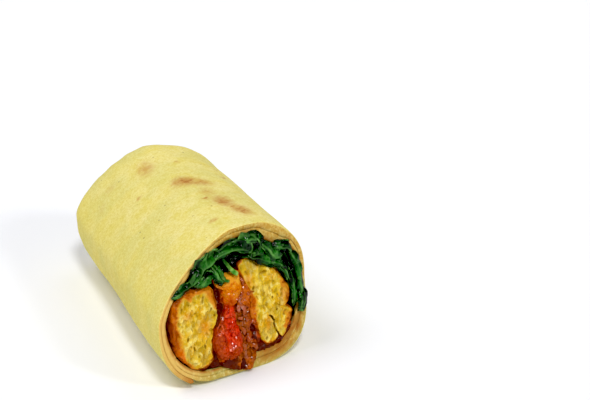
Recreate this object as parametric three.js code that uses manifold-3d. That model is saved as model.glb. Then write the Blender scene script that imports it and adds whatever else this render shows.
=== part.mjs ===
// Half of a rolled tortilla wrap, cut on a slant and lying on its flat underside.
// Millimetres, +Z up. X runs across the roll and Y along it: the cut faces -Y, the folded end +Y.
// The tortilla is a thick cup round its fillings, and each filling runs through the roll.

import * as THREE from "three";
import { mergeVertices } from "three/addons/utils/BufferGeometryUtils.js";
import Module from "manifold-3d";

const wasm = await Module();
wasm.setup();

// Driving dimensions
const ROLL_LENGTH = 98; // from the middle of the cut to the folded end
const ROLL_WIDTH = 54;
const ROLL_HEIGHT = 46;
const WIDEST_AT = 23; // height at which the roll is widest
const FLAT_DEPTH = 0.8; // how deep the round underside is pressed flat
const SQUARENESS = { upperRight: 2.4, upperLeft: 1.38, lowerLeft: 2.5, lowerRight: 3.6 };
const CUT_SLANT = 0.35; // the cut runs back this much for each millimetre to the right
const CUT_LEAN = 0.13; // and this much for each millimetre up
const END_TAPER = 0.09; // the folded end is slimmer than the cut end by this share
const END_ROUND = 17; // length over which the folded end rounds off
const END_SQUARENESS = 2.8;
const END_WALL = 9; // thickness of the folded end
const LAYER = 1.3; // one thickness of tortilla
const GAP = 0.3; // clearance between neighbouring pieces
const LUMP = 0.45; // unevenness of the tortilla's surface

// Thickness of the rolled tortilla at angles round the section, counted from +X, in degrees
const WALL = [
  [0, 2.4], [18, 2.8], [38, 4.6], [60, 3.2], [90, 2.6], [150, 2.2],
  [180, 2.5], [212, 3.7], [270, 5.2], [310, 4.2], [335, 2.9], [360, 2.4],
];
// The sheet's outer end is a low step, which fades out as the next layer comes up to it.
const SEAM = { angle: 236, fade: 62, crispness: 0.5 };
// The line between the layers runs from the sheet's inner end to its outer end.
const SLIT = { from: 212, to: SEAM.angle + 360, width: 0.36, depth: 2.6, steps: 56 };
// The folded end has a spiral valley that starts at the seam.
const END_FOLD = { turns: 1 + SEAM.angle / 360, relief: 2.2 };

const SHELL_SIDES = 56;
const SHELL_STEPS = 6;
const CAP_STEPS = 8;

const { clamp, degToRad, euclideanModulo, lerp, radToDeg, smoothstep } = THREE.MathUtils;

// A value read off a list of [angle, value] knots, with a smooth step from each to the next.
function between(knots, angle) {
  const next = clamp(knots.findIndex(([knot]) => knot >= angle), 1, knots.length - 1);
  const [[from, first], [to, second]] = [knots[next - 1], knots[next]];
  return lerp(first, second, smoothstep(angle, from, to));
}

// Smooth noise from -1 to 1 on a lattice of hashed values.
function noise(x, y, z) {
  const hash = (i, j, k) => {
    const n = Math.sin(i * 127.1 + j * 311.7 + k * 74.7) * 43758.5453;
    return (n - Math.floor(n)) * 2 - 1;
  };
  const [i, j, k] = [x, y, z].map(Math.floor);
  const [u, v, w] = [x - i, y - j, z - k].map((t) => t * t * (3 - 2 * t));
  const edge = (b, c) => lerp(hash(i, b, c), hash(i + 1, b, c), u);
  return lerp(lerp(edge(j, k), edge(j + 1, k), v), lerp(edge(j, k + 1), edge(j + 1, k + 1), v), w);
}

// A closed solid through rings of as many points each, with a pole point closing either end.
function loft(rings, firstPole, lastPole) {
  const sides = rings[0].length;
  const points = [firstPole, ...rings.flat(), lastPole];
  const at = (ring, side) => 1 + ring * sides + (side % sides);
  const faces = [];
  for (let side = 0; side < sides; side++) {
    faces.push(0, at(0, side), at(0, side + 1));
    for (let ring = 0; ring + 1 < rings.length; ring++) {
      const [a, b] = [at(ring, side), at(ring, side + 1)];
      const [d, c] = [at(ring + 1, side), at(ring + 1, side + 1)];
      faces.push(a, c, b, a, d, c);
    }
    faces.push(points.length - 1, at(rings.length - 1, side + 1), at(rings.length - 1, side));
  }
  return closed(points, faces);
}

// A manifold solid from points and faces, turned to face outwards whichever way its rings ran.
function closed(points, faces) {
  const geometry = new THREE.BufferGeometry();
  geometry.setAttribute("position", new THREE.Float32BufferAttribute(points.flat(), 3));
  geometry.setIndex(faces);
  const merged = mergeVertices(geometry, 1e-4);
  const vertProperties = merged.attributes.position.array;
  const triVerts = new Uint32Array(merged.index.array);
  const made = new wasm.Manifold(new wasm.Mesh({ numProp: 3, vertProperties, triVerts }));
  if (made.volume() >= 0) return made;
  return new wasm.Manifold(
    new wasm.Mesh({ numProp: 3, vertProperties, triVerts: triVerts.slice().reverse() }),
  );
}

const middle = (ring) => [0, 1, 2].map((k) => ring.reduce((sum, p) => sum + p[k], 0) / ring.length);

// --- The roll's own shape ---

// The share of its full size that the roll has at a place along it.
const slimming = (y) => 1 - END_TAPER * smoothstep(y, 0, ROLL_LENGTH);

// Where the slanted cut lies, for a point of the section.
const cutAt = (x, z) => CUT_SLANT * x + CUT_LEAN * (z - WIDEST_AT);

// The roll's outline in section: a superellipse whose four quarters differ.
function outline(angle) {
  const [c, s] = [Math.cos(angle), Math.sin(angle)];
  const upper = c >= 0 ? SQUARENESS.upperRight : SQUARENESS.upperLeft;
  const lower = c >= 0 ? SQUARENESS.lowerRight : SQUARENESS.lowerLeft;
  const power = s >= 0 ? upper : lower;
  const reach = (Math.abs(c) ** power + Math.abs(s) ** power) ** (-1 / power);
  const rise = s >= 0 ? ROLL_HEIGHT - WIDEST_AT : WIDEST_AT + FLAT_DEPTH;
  return [(ROLL_WIDTH / 2) * reach * c, WIDEST_AT + rise * reach * s];
}

// The outline moved inwards, towards the middle of the section.
function inset(angle, depth) {
  const [x, z] = outline(angle);
  const share = 1 - depth / Math.hypot(x, z - WIDEST_AT);
  return [x * share, WIDEST_AT + (z - WIDEST_AT) * share];
}

// A point of the section carried to a place along the roll, where the roll is slimmer.
function along(x, z, y) {
  const size = slimming(y);
  return [x * size, y, z * size];
}

// The same, starting from the cut: share 0 lies on the cut and share 1 at the given y.
const fromCut = (x, z, y, share, proud = 0) => along(x, z, lerp(cutAt(x, z) - proud, y, share));

// How far the sheet's outer end leaves the surface behind it lower, past the seam.
function seamDrop(angle) {
  const past = euclideanModulo(radToDeg(angle) - SEAM.angle, 360);
  return LAYER * (1 - smoothstep(past, 0, SEAM.fade));
}

const wallAt = (angle) => between(WALL, radToDeg(angle));

const lumps = (angle, y) =>
  LUMP * noise(3 + 2.2 * Math.cos(angle), 5 + 2.2 * Math.sin(angle), y / 26);

// Angles round the shell, with two close together where the seam steps down.
const seamAngle = degToRad(SEAM.angle);
const seamStep = degToRad(SEAM.crispness);
const shellAngles = Array.from({ length: SHELL_SIDES }, (_, i) => (i / SHELL_SIDES) * Math.PI * 2)
  .filter((angle) => Math.abs(angle - seamAngle) > 2 * seamStep)
  .concat(seamAngle - seamStep, seamAngle)
  .sort((a, b) => a - b);

// Rings that run from the cut to a rounded end. The cap's rings shrink towards its middle.
function rollRings({ depthAt, endAt, round, steps, capSteps, fold = () => 0 }) {
  const rings = [];
  const capFrom = endAt - round;
  for (let step = 0; step < steps; step++) {
    const share = step / steps;
    rings.push(
      shellAngles.map((angle) => {
        const [x, z] = inset(angle, depthAt(angle) - lumps(angle, share * capFrom));
        return fromCut(x, z, capFrom, share);
      }),
    );
  }
  for (let step = 0; step <= capSteps; step++) {
    const turn = (step / capSteps) * (Math.PI / 2) * 0.97;
    const shrink = Math.cos(turn) ** (2 / END_SQUARENESS);
    const y = capFrom + round * Math.sin(turn) ** (2 / END_SQUARENESS);
    rings.push(
      shellAngles.map((angle) => {
        const [x, z] = inset(angle, depthAt(angle) - lumps(angle, y));
        return along(x * shrink, lerp(WIDEST_AT, z, shrink), y - fold(angle, shrink));
      }),
    );
  }
  return rings;
}

// The roll's hollow, or with a clearance the room for its fillings.
const hollowRings = (clearance = 0) =>
  rollRings({
    depthAt: (angle) => wallAt(angle) + clearance,
    endAt: ROLL_LENGTH - END_WALL - clearance,
    round: END_ROUND * 0.6,
    steps: SHELL_STEPS - 2,
    capSteps: 3,
  });

// The folded end is rolled too: a shallow spiral valley runs from its rim to its middle.
function endFold(angle, shrink) {
  const place = euclideanModulo(shrink * END_FOLD.turns - angle / (2 * Math.PI), 1);
  const valley = 1 - Math.sin(Math.PI * place);
  return END_FOLD.relief * valley * smoothstep(1 - shrink, 0.02, 0.25);
}

// --- The tortilla ---

function tortilla() {
  const outside = rollRings({
    depthAt: seamDrop,
    endAt: ROLL_LENGTH,
    round: END_ROUND,
    steps: SHELL_STEPS,
    capSteps: CAP_STEPS,
    fold: endFold,
  });
  const rings = [...hollowRings().reverse(), ...outside];
  const shell = loft(rings, middle(rings[0]), middle(rings.at(-1)));
  return shell.subtract(layerSlit()).subtract(below());
}

// The line that shows on the cut between one layer and the next. It opens into the roll where the
// sheet starts and out of the roll where the sheet ends.
function layerSlit() {
  const rings = [];
  const opening = 0.07;
  for (let step = 0; step <= SLIT.steps; step++) {
    const share = step / SLIT.steps;
    const turned = degToRad(euclideanModulo(lerp(SLIT.from, SLIT.to, share), 360));
    const opened = 0.5 * (1 - smoothstep(share, 0, opening) - smoothstep(share, 1 - opening, 1));
    const depth = wallAt(turned) * (lerp(0.66, 0.34, share) + opened) - lumps(turned, 0);
    const [near, far] = [SLIT.width / 2, -SLIT.width / 2].map((w) => inset(turned, depth + w));
    const [front, back] = [-1, SLIT.depth];
    rings.push(
      [[near, front], [near, back], [far, back], [far, front]].map(([[x, z], y]) => [
        x,
        cutAt(x, z) + y,
        z,
      ]),
    );
  }
  return loft(rings, middle(rings[0]), middle(rings.at(-1)));
}

// All that lies under a level surface, such as the one that the roll rests on.
function below(level = 0) {
  const reach = ROLL_LENGTH * 3;
  const corners = [[-1, -1], [1, -1], [1, 1], [-1, 1]];
  const ring = (z) => corners.map(([x, y]) => [x * reach, y * reach, z]);
  return loft([ring(level - reach), ring(level)], [0, 0, level - reach], [0, 0, level]);
}

// --- The fillings ---

// The room that the fillings have: the roll's hollow, and as much space in front of the cut.
const FRONT_ROOM = 7;

function fillingRoom() {
  const rings = hollowRings(GAP);
  const hollow = [rings[0].map(([x, y, z]) => [x, y - FRONT_ROOM, z]), ...rings];
  return loft(hollow, middle(hollow[0]), middle(hollow.at(-1)));
}

// A wider space just in front of the cut, out to a given depth under the roll's surface, where a
// filling hangs over the bread's edge.
function overhangRoom(depth) {
  const rings = [FRONT_ROOM, GAP].map((proud) =>
    shellAngles.map((angle) => fromCut(...inset(angle, depth), 0, 0, proud)),
  );
  return loft(rings, middle(rings[0]), middle(rings[1])).subtract(below(GAP));
}

// A lumpy piece that runs along the roll. Its cut face is rough, and its far end is round.
function lump(shape, grow = 0) {
  const { x, z, width, height, lean, squareness, proud, end, crag, grain, seed } = shape;
  const { sides = 24, faceSteps = 3, steps = 6, endSteps = 3 } = shape;
  const turn = degToRad(lean);
  const rings = [];
  const ringAt = (share, size, rough) =>
    Array.from({ length: sides }, (_, side) => {
      const angle = (side / sides) * Math.PI * 2;
      const [c, s] = [Math.cos(angle), Math.sin(angle)];
      const reach = (Math.abs(c) ** squareness + Math.abs(s) ** squareness) ** (-1 / squareness);
      const knob = crag * noise(seed + c * 2.1, s * 2.1 + 7, lerp(-proud, end, share) / grain);
      const across = c * (((width / 2) * reach + knob) * size + grow);
      const up = s * (((height / 2) * reach + knob) * size + grow);
      const px = x + across * Math.cos(turn) - up * Math.sin(turn);
      const pz = z + across * Math.sin(turn) + up * Math.cos(turn);
      const face = rough * noise(px / 2.3 + seed, pz / 2.3, 3);
      return fromCut(px, pz, end + grow, share, proud + grow + face);
    });
  for (let i = 1; i <= faceSteps; i++) {
    const size = (i / faceSteps) ** 0.8;
    rings.push(ringAt(0, size, i < faceSteps ? crag : 0));
  }
  const straight = 0.93; // share of the length before the far end rounds off
  for (let i = 1; i <= steps; i++) rings.push(ringAt(straight * (i / steps), 1, 0));
  for (let i = 1; i <= endSteps; i++) {
    const bend = (i / (endSteps + 0.5)) * (Math.PI / 2);
    rings.push(ringAt(lerp(straight, 1, Math.sin(bend)), Math.cos(bend), 0));
  }
  return loft(rings, middle(rings[0]), middle(rings.at(-1)));
}

const FILL_END = ROLL_LENGTH - END_WALL - 1;

// Each lump's middle, size and lean in the section, how far it stands out of the cut and how deep
// into the roll it ends, the depth and length of its knobs, and a seed for them.
const BHAJI_LEFT = {
  x: -15.4, z: 17.8, width: 20.5, height: 26.5, lean: -5, squareness: 2.4, proud: 0.7,
  end: FILL_END, crag: 1.3, grain: 9, seed: 11, sides: 28, faceSteps: 4,
};
const BHAJI_RIGHT = {
  x: 12.2, z: 20.2, width: 16.8, height: 29.5, lean: 13, squareness: 2.3, proud: 0.9,
  end: FILL_END, crag: 1.4, grain: 8, seed: 31, sides: 28, faceSteps: 4,
};
const RED_PEPPER = {
  x: -1.6, z: 14.2, width: 6.8, height: 19, lean: 8, squareness: 2.5, proud: 1.1,
  end: FILL_END - 3, crag: 0.7, grain: 12, seed: 51, sides: 16, steps: 4, faceSteps: 2,
};
const ORANGE_PEPPER = {
  x: -2.1, z: 27.8, width: 8.6, height: 7.4, lean: -8, squareness: 2.6, proud: 1.1,
  end: FILL_END - 3, crag: 0.5, grain: 10, seed: 71, sides: 14, steps: 4, faceSteps: 2,
};
// The chutney stands between the bhajis and lies along the bottom of the roll.
const CHUTNEY = {
  x: 0.8, z: 17, width: 17, height: 31, lean: 2, squareness: 2.8, proud: 0.3,
  end: FILL_END, crag: 0.8, grain: 8, seed: 91,
};
const CHUTNEY_POOL = {
  x: 3, z: 7.4, width: 40, height: 9, lean: 0, squareness: 3, proud: -0.3,
  end: FILL_END, crag: 0.6, grain: 8, seed: 111, faceSteps: 1,
};
// A little of it has run out over the lower edge of the tortilla.
const SPILL = {
  x: 4.7, z: 4, width: 10.6, height: 7.4, lean: 4, squareness: 2.1, proud: 2.2,
  end: 5, crag: 0.6, grain: 4, seed: 101, sides: 16, steps: 2, endSteps: 2,
};

// The spinach lies over the other fillings, under the roof of the roll and down its right side.
// Its underside is given as angles round the section and distances from the middle of the roll.
const SPINACH = {
  underside: [
    [-26, 23.7], [-6, 20.2], [20, 16.6], [52, 14], [75, 12.4], [97, 9.2],
    [111, 8.8], [130, 11.8], [144, 15.7], [155, 20.6], [163, 22.5],
  ],
  roof: ROLL_WIDTH * 0.62, // outside the roll, so that the roll's hollow shapes it
  steps: 18,
  proud: 0.3,
  ruffle: 0.9,
  stations: [0, 0.15, 0.4, 0.7, 1],
};
const LEAF = { thickness: 0.8, rows: 3, columns: 7, curl: 2.4 };
// Leaves that fold out over the cut: the angle and distance of each one's middle, its length and
// width, its tilt and how far it stands out
const LEAVES = [
  { at: 158, reach: 21.6, length: 12, width: 4, tilt: 4, proud: 1.4 },
  { at: 138, reach: 17.4, length: 19, width: 5.5, tilt: -12, proud: 2.4 },
  { at: 126, reach: 12.6, length: 10, width: 6, tilt: 10, proud: 1.8 },
  { at: 96, reach: 11.6, length: 5, width: 8, tilt: 20, proud: 2.9 },
  { at: 111, reach: 17, length: 11, width: 5.5, tilt: 8, proud: 1.9 },
  { at: 82, reach: 17.6, length: 12, width: 6, tilt: -12, proud: 2.8 },
  { at: 70, reach: 14.8, length: 13, width: 4.5, tilt: 10, proud: 2.2 },
  { at: 41, reach: 18, length: 13, width: 6.5, tilt: 12, proud: 2.6 },
  { at: 22, reach: 21, length: 13, width: 6, tilt: -8, proud: 2.2 },
  { at: 0, reach: 22.6, length: 17, width: 4.5, tilt: 5, proud: 1.8 },
  { at: -18, reach: 24.8, length: 9, width: 4.5, tilt: -8, proud: 1.5 },
];

function spinachCore(grow) {
  const { underside, roof, steps, proud, ruffle, stations } = SPINACH;
  const [from, to] = [underside[0][0] - grow, underside.at(-1)[0] + grow];
  const degrees = Array.from({ length: steps + 1 }, (_, i) => lerp(from, to, i / steps));
  const rings = stations.map((share) => {
    const place = (angle, reach) => {
      const [c, s] = [Math.cos(degToRad(angle)), Math.sin(degToRad(angle))];
      const [x, z] = [reach * c, WIDEST_AT + reach * s];
      const wave = share ? 0 : ruffle * noise(angle / 9, reach / 5, 1);
      return fromCut(x, z, FILL_END + grow, share, proud + grow + wave);
    };
    const top = degrees.map((angle) => place(angle, roof));
    const bottom = degrees.map((angle) => place(angle, between(underside, angle) - grow));
    return [...top, ...bottom.reverse()];
  });
  return loftStrip(rings);
}

// A loft whose rings are long bent strips: its ends are closed across the strip, not by a pole.
function loftStrip(rings) {
  const sides = rings[0].length;
  const points = rings.flat();
  const at = (ring, side) => ring * sides + (side % sides);
  const last = rings.length - 1;
  const faces = [];
  for (let side = 0; side < sides; side++) {
    for (let ring = 0; ring < last; ring++) {
      const [a, b] = [at(ring, side), at(ring, side + 1)];
      const [d, c] = [at(ring + 1, side), at(ring + 1, side + 1)];
      faces.push(a, c, b, a, d, c);
    }
  }
  for (let side = 0; side + 1 < sides / 2; side++) {
    const [a, b, c, d] = [side, side + 1, sides - 2 - side, sides - 1 - side];
    faces.push(at(0, a), at(0, b), at(0, c), at(0, a), at(0, c), at(0, d));
    faces.push(at(last, a), at(last, c), at(last, b), at(last, a), at(last, d), at(last, c));
  }
  return closed(points, faces);
}

// A thin wavy leaf that lies over the cut and follows the arch of spinach.
function leaf({ at, reach, length, width, tilt, proud }, grow) {
  const { thickness, rows, columns, curl } = LEAF;
  const rise = Math.tan(degToRad(tilt)) * length;
  const sheet = (back) => {
    const points = [];
    for (let row = 0; row <= rows; row++) {
      for (let column = 0; column <= columns; column++) {
        const [u, v] = [(column / columns) * 2 - 1, (row / rows) * 2 - 1];
        const taper = 0.25 + 0.75 * Math.sqrt(1 - u * u);
        const bend = degToRad(at) + (u * (length / 2 + grow)) / reach;
        const out = reach + v * ((width / 2) * taper + grow) + u * rise * 0.18;
        const [x, z] = [out * Math.cos(bend), WIDEST_AT + out * Math.sin(bend)];
        const wave = 0.8 * Math.sin(u * 5 + at) * v + curl * (v * v + u * u) * 0.6;
        points.push([x, cutAt(x, z) - proud - 2 * grow + wave + back, z]);
      }
    }
    return points;
  };
  return sheetSolid(sheet(0), sheet(thickness + 4 * grow), rows, columns);
}

// A closed solid between two grids of points that are split alike.
function sheetSolid(front, back, rows, columns) {
  const across = columns + 1;
  const count = front.length;
  const faces = [];
  for (let row = 0; row < rows; row++) {
    for (let column = 0; column < columns; column++) {
      const a = row * across + column;
      const [b, c, d] = [a + 1, a + across + 1, a + across];
      faces.push(a, b, c, a, c, d);
      faces.push(count + a, count + c, count + b, count + a, count + d, count + c);
    }
  }
  const rim = [];
  for (let column = 0; column < columns; column++) rim.push(column);
  for (let row = 0; row < rows; row++) rim.push(row * across + columns);
  for (let column = columns; column > 0; column--) rim.push(rows * across + column);
  for (let row = rows; row > 0; row--) rim.push(row * across);
  rim.forEach((a, i) => {
    const b = rim[(i + 1) % rim.length];
    faces.push(a, count + a, count + b, a, count + b, b);
  });
  return closed([...front, ...back], faces);
}

const spinach = (grow = 0) =>
  LEAVES.reduce((bundle, shape) => bundle.add(leaf(shape, grow)), spinachCore(grow));

// --- Putting it together ---

const FINISH = {
  tortilla: { color: 0xe6d87e, roughness: 0.75 },
  bhaji: { color: 0xd99a2b, roughness: 0.8 },
  spinach: { color: 0x1c5a25, roughness: 0.35 },
  chutney: { color: 0x9c3a14, roughness: 0.25 },
  redPepper: { color: 0xc22313, roughness: 0.2 },
  orangePepper: { color: 0xd97b1c, roughness: 0.3 },
};

function mesh(name, solid, finish) {
  const { vertProperties, triVerts } = solid.getMesh();
  const geometry = new THREE.BufferGeometry();
  geometry.setAttribute("position", new THREE.BufferAttribute(vertProperties, 3));
  geometry.setIndex(new THREE.BufferAttribute(triVerts, 1));
  geometry.computeVertexNormals();
  const made = new THREE.Mesh(geometry, new THREE.MeshStandardMaterial({ ...finish, metalness: 0 }));
  made.name = name;
  return made;
}

// The largest of the bodies that a cut left, so that loose scraps are dropped.
const whole = (solid) => solid.decompose().reduce((a, b) => (a.volume() >= b.volume() ? a : b));

const join = (solids) => solids.reduce((joined, solid) => joined.add(solid));
const grown = (...shapes) => join(shapes.map((shape) => lump(shape, GAP)));

const room = fillingRoom();

const bhajiLeft = whole(lump(BHAJI_LEFT).intersect(room));
const bhajiRight = whole(lump(BHAJI_RIGHT).intersect(room).subtract(grown(BHAJI_LEFT)));
const bhajis = grown(BHAJI_LEFT, BHAJI_RIGHT);
const redPepper = whole(lump(RED_PEPPER).intersect(room).subtract(bhajis));
const orangePepper = whole(
  lump(ORANGE_PEPPER).intersect(room).subtract(bhajis).subtract(grown(RED_PEPPER)),
);
const pieces = bhajis.add(grown(RED_PEPPER, ORANGE_PEPPER));
const leafRoom = room.add(overhangRoom(1.3 * LAYER));
const spinachBundle = whole(spinach().intersect(leafRoom).subtract(pieces));
const spill = lump(SPILL).intersect(room.add(overhangRoom(0)));
const chutneyBody = join([lump(CHUTNEY), lump(CHUTNEY_POOL)]).intersect(room);
const chutney = whole(chutneyBody.add(spill).subtract(pieces).subtract(spinach(GAP)));

const wrap = new THREE.Group();
wrap.add(
  mesh("tortilla", whole(tortilla()), FINISH.tortilla),
  mesh("bhaji_left", bhajiLeft, FINISH.bhaji),
  mesh("bhaji_right", bhajiRight, FINISH.bhaji),
  mesh("spinach", spinachBundle, FINISH.spinach),
  mesh("red_pepper", redPepper, FINISH.redPepper),
  mesh("orange_pepper", orangePepper, FINISH.orangePepper),
  mesh("chutney", chutney, FINISH.chutney),
);

// The origin is the middle of the space the half takes up, on the surface that it rests on.
const extent = new THREE.Box3().setFromObject(wrap);
const centre = extent.getCenter(new THREE.Vector3());
wrap.position.set(-centre.x, -centre.y, 0);

export default wrap;
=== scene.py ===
import math
import random

import bpy
import numpy as np
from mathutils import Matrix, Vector


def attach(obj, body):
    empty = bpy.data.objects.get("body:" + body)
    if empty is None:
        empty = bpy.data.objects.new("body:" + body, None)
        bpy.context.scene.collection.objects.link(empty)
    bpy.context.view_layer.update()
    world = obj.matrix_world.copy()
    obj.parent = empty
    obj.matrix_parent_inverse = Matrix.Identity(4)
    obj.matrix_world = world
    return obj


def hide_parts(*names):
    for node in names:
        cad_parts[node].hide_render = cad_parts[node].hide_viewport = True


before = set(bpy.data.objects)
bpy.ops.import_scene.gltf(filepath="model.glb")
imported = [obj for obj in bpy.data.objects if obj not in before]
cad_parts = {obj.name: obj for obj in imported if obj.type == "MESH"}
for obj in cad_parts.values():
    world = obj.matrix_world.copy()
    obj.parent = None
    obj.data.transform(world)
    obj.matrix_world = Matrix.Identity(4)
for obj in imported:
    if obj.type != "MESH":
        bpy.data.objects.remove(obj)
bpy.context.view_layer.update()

bpy.ops.object.select_all(action="DESELECT")

# Half of an onion bhaji wrap, lying on its flat underside. The cut faces -Y, the folded end +Y.
# Sizes are in millimetres of the roll's own section: x across, z up, y along the roll from the cut.
# They are turned into metres of the part's frame where a mesh gets its points.
millimetre = 0.001
sectionOrigin = np.array([-0.036, -43.732, 0.0])


# Small tools for numbers

def lerp(first, second, share):
    return first + (second - first) * share


def smooth(value, low, high):
    share = np.clip((value - low) / (high - low), 0, 1)
    return share * share * (3 - 2 * share)


def between(knots, value):
    # A value read off a list of knots, with a smooth step from each to the next
    places, heights = np.array(knots, float).T
    after = np.clip(np.searchsorted(places, value), 1, len(places) - 1)
    share = smooth(value, places[after - 1], places[after])
    return lerp(heights[after - 1], heights[after], share)


def direction(angle):
    # The cosine and sine of an angle in degrees
    return np.cos(np.radians(angle)), np.sin(np.radians(angle))


def rough(x, y, z):
    # Smooth noise from -1 to 1, the same as in the part's source
    x, y, z = np.broadcast_arrays(*(np.asarray(v, float) for v in (x, y, z)))
    i, j, k = np.floor(x), np.floor(y), np.floor(z)
    u, v, w = ((t - np.floor(t)) ** 2 * (3 - 2 * (t - np.floor(t))) for t in (x, y, z))

    def corner(a, b, c):
        n = np.sin((i + a) * 127.1 + (j + b) * 311.7 + (k + c) * 74.7) * 43758.5453
        return (n - np.floor(n)) * 2 - 1

    def edge(b, c):
        return lerp(corner(0, b, c), corner(1, b, c), u)

    return lerp(lerp(edge(0, 0), edge(1, 0), v), lerp(edge(0, 1), edge(1, 1), v), w)


def crumbly(x, y, z, octaves=3):
    # The same noise with finer and finer noise on it
    total = 0
    for octave in range(octaves):
        total = total + rough(x * 2 ** octave + 17 * octave, y * 2 ** octave, z * 2 ** octave) / 2 ** octave
    return total / 1.6


# Small tools for meshes

def addSurface(name, columns, rows, place, gap=0.004):
    # A grid is added, each of its points is moved to its place on the piece, and the surface is closed.
    bpy.ops.object.select_all(action="DESELECT")
    bpy.ops.mesh.primitive_grid_add(
        x_subdivisions=columns - 1, y_subdivisions=rows - 1, size=2, calc_uvs=False,
    )
    piece = bpy.context.object
    piece.name = name
    piece.data.name = name
    flat = np.empty(len(piece.data.vertices) * 3)
    piece.data.vertices.foreach_get("co", flat)
    flat = flat.reshape(-1, 3)
    column = np.rint((flat[:, 0] + 1) / 2 * (columns - 1)).astype(int)
    row = np.rint((flat[:, 1] + 1) / 2 * (rows - 1)).astype(int)
    points, marks = place(column, row)
    points = (np.stack(points, -1) + sectionOrigin) * millimetre
    piece.data.vertices.foreach_set("co", points.ravel())
    for mark, values in marks.items():
        layer = piece.data.attributes.new(mark, "FLOAT", "POINT")
        layer.data.foreach_set("value", np.broadcast_to(values, len(points)).astype(np.float32))
    piece.data.update()
    if gap:
        closeSurface(piece, gap)
    return piece


def closeSurface(piece, gap):
    # Points nearer than the gap are merged, and the faces are turned outwards.
    bpy.context.view_layer.objects.active = piece
    piece.select_set(True)
    bpy.ops.object.mode_set(mode="EDIT")
    bpy.ops.mesh.select_all(action="SELECT")
    bpy.ops.mesh.remove_doubles(threshold=gap * millimetre)
    bpy.ops.mesh.dissolve_degenerate(threshold=gap * millimetre / 4)
    bpy.ops.mesh.normals_make_consistent(inside=False)
    bpy.ops.object.mode_set(mode="OBJECT")
    bpy.ops.object.shade_smooth()


def applyModifier(piece, kind, **settings):
    bpy.context.view_layer.objects.active = piece
    modifier = piece.modifiers.new(kind.title(), kind)
    for setting, value in settings.items():
        setattr(modifier, setting, value)
    bpy.ops.object.modifier_apply(modifier=modifier.name)


def joinPieces(pieces, name):
    bpy.ops.object.select_all(action="DESELECT")
    for piece in pieces:
        piece.select_set(True)
    bpy.context.view_layer.objects.active = pieces[0]
    bpy.ops.object.join()
    pieces[0].name = name
    pieces[0].data.name = name
    return pieces[0]


def serve(piece, node, finish):
    # The piece gets its finish and stands for a solid of the frame.
    piece.data.materials.clear()
    piece.data.materials.append(finish.material)
    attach(piece, "root")
    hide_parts(node)


# Small tools for finishes

def tint(code):
    # A colour as it looks on a screen, turned into the linear one that a shader takes
    parts = [int(code[i:i + 2], 16) / 255 for i in (1, 3, 5)]
    return (*(p / 12.92 if p <= 0.04045 else ((p + 0.055) / 1.055) ** 2.4 for p in parts), 1.0)


class Wire:
    # One output socket of a finish, which can be added to, multiplied and so on

    def __init__(self, finish, socket):
        self.finish = finish
        self.socket = socket

    def math(self, operation, first, second):
        return self.finish.node("ShaderNodeMath", {"operation": operation}, {0: first, 1: second})

    def __add__(self, other):
        return self.math("ADD", self, other)

    def __radd__(self, other):
        return self.math("ADD", other, self)

    def __sub__(self, other):
        return self.math("SUBTRACT", self, other)

    def __rsub__(self, other):
        return self.math("SUBTRACT", other, self)

    def __mul__(self, other):
        return self.math("MULTIPLY", self, other)

    def __rmul__(self, other):
        return self.math("MULTIPLY", other, self)

    def step(self, low, high):
        # 0 at low and 1 at high, with a smooth step between them. High may be the smaller number.
        settings = {"interpolation_type": "SMOOTHSTEP"}
        return self.finish.node("ShaderNodeMapRange", settings, {0: self, 1: low, 2: high})


class Finish:
    # A material, the dictionary with its colours, and the few ways in which its nodes are made

    def __init__(self, name, look, **constants):
        self.look = look
        self.material = bpy.data.materials.new(name)
        self.material.use_nodes = True
        self.tree = self.material.node_tree
        self.shader = self.tree.nodes["Principled BSDF"]
        self.dress(**constants)
        self.place = self.node("ShaderNodeTexCoord", {}, {}, "Object")

    def node(self, kind, settings, sockets, out=0):
        made = self.tree.nodes.new(kind)
        for setting, value in settings.items():
            setattr(made, setting, value)
        for socket, value in sockets.items():
            self.feed(made.inputs[socket], value)
        return Wire(self, made.outputs[out])

    def feed(self, socket, value):
        # A socket gets a link, a colour by its name in the look, or a plain value.
        if isinstance(value, Wire):
            self.tree.links.new(value.socket, socket)
        elif isinstance(value, str):
            socket.default_value = tint(self.look[value])
        else:
            socket.default_value = value

    def dress(self, **sockets):
        for socket, value in sockets.items():
            self.feed(self.shader.inputs[socket.replace("_", " ")], value)

    def mark(self, name):
        return self.node("ShaderNodeAttribute", {"attribute_name": name}, {}, "Fac")

    def grain(self, scale, detail=2.0, roughness=0.5, distortion=0.0, place=None):
        sockets = {"Scale": scale, "Detail": detail, "Roughness": roughness, "Distortion": distortion}
        return self.node("ShaderNodeTexNoise", {}, {"Vector": place or self.place, **sockets})

    def cells(self, scale, feature="F1"):
        sockets = {"Vector": self.place, "Scale": scale}
        return self.node("ShaderNodeTexVoronoi", {"feature": feature}, sockets, "Distance")

    def blend(self, first, second, share):
        return self.node("ShaderNodeMix", {"data_type": "RGBA"}, {0: share, 6: first, 7: second}, 2)

    def paint(self, ground, layers):
        # Colours are laid over the ground one after the other, each by its own share.
        for colour, share in layers:
            ground = self.blend(ground, colour, share)
        return ground

    def relief(self, height, depth, strength):
        # Fine relief of the given depth in metres
        return self.node("ShaderNodeBump", {}, {"Height": height, "Distance": depth, "Strength": strength})


# Camera, floor and light

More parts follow.
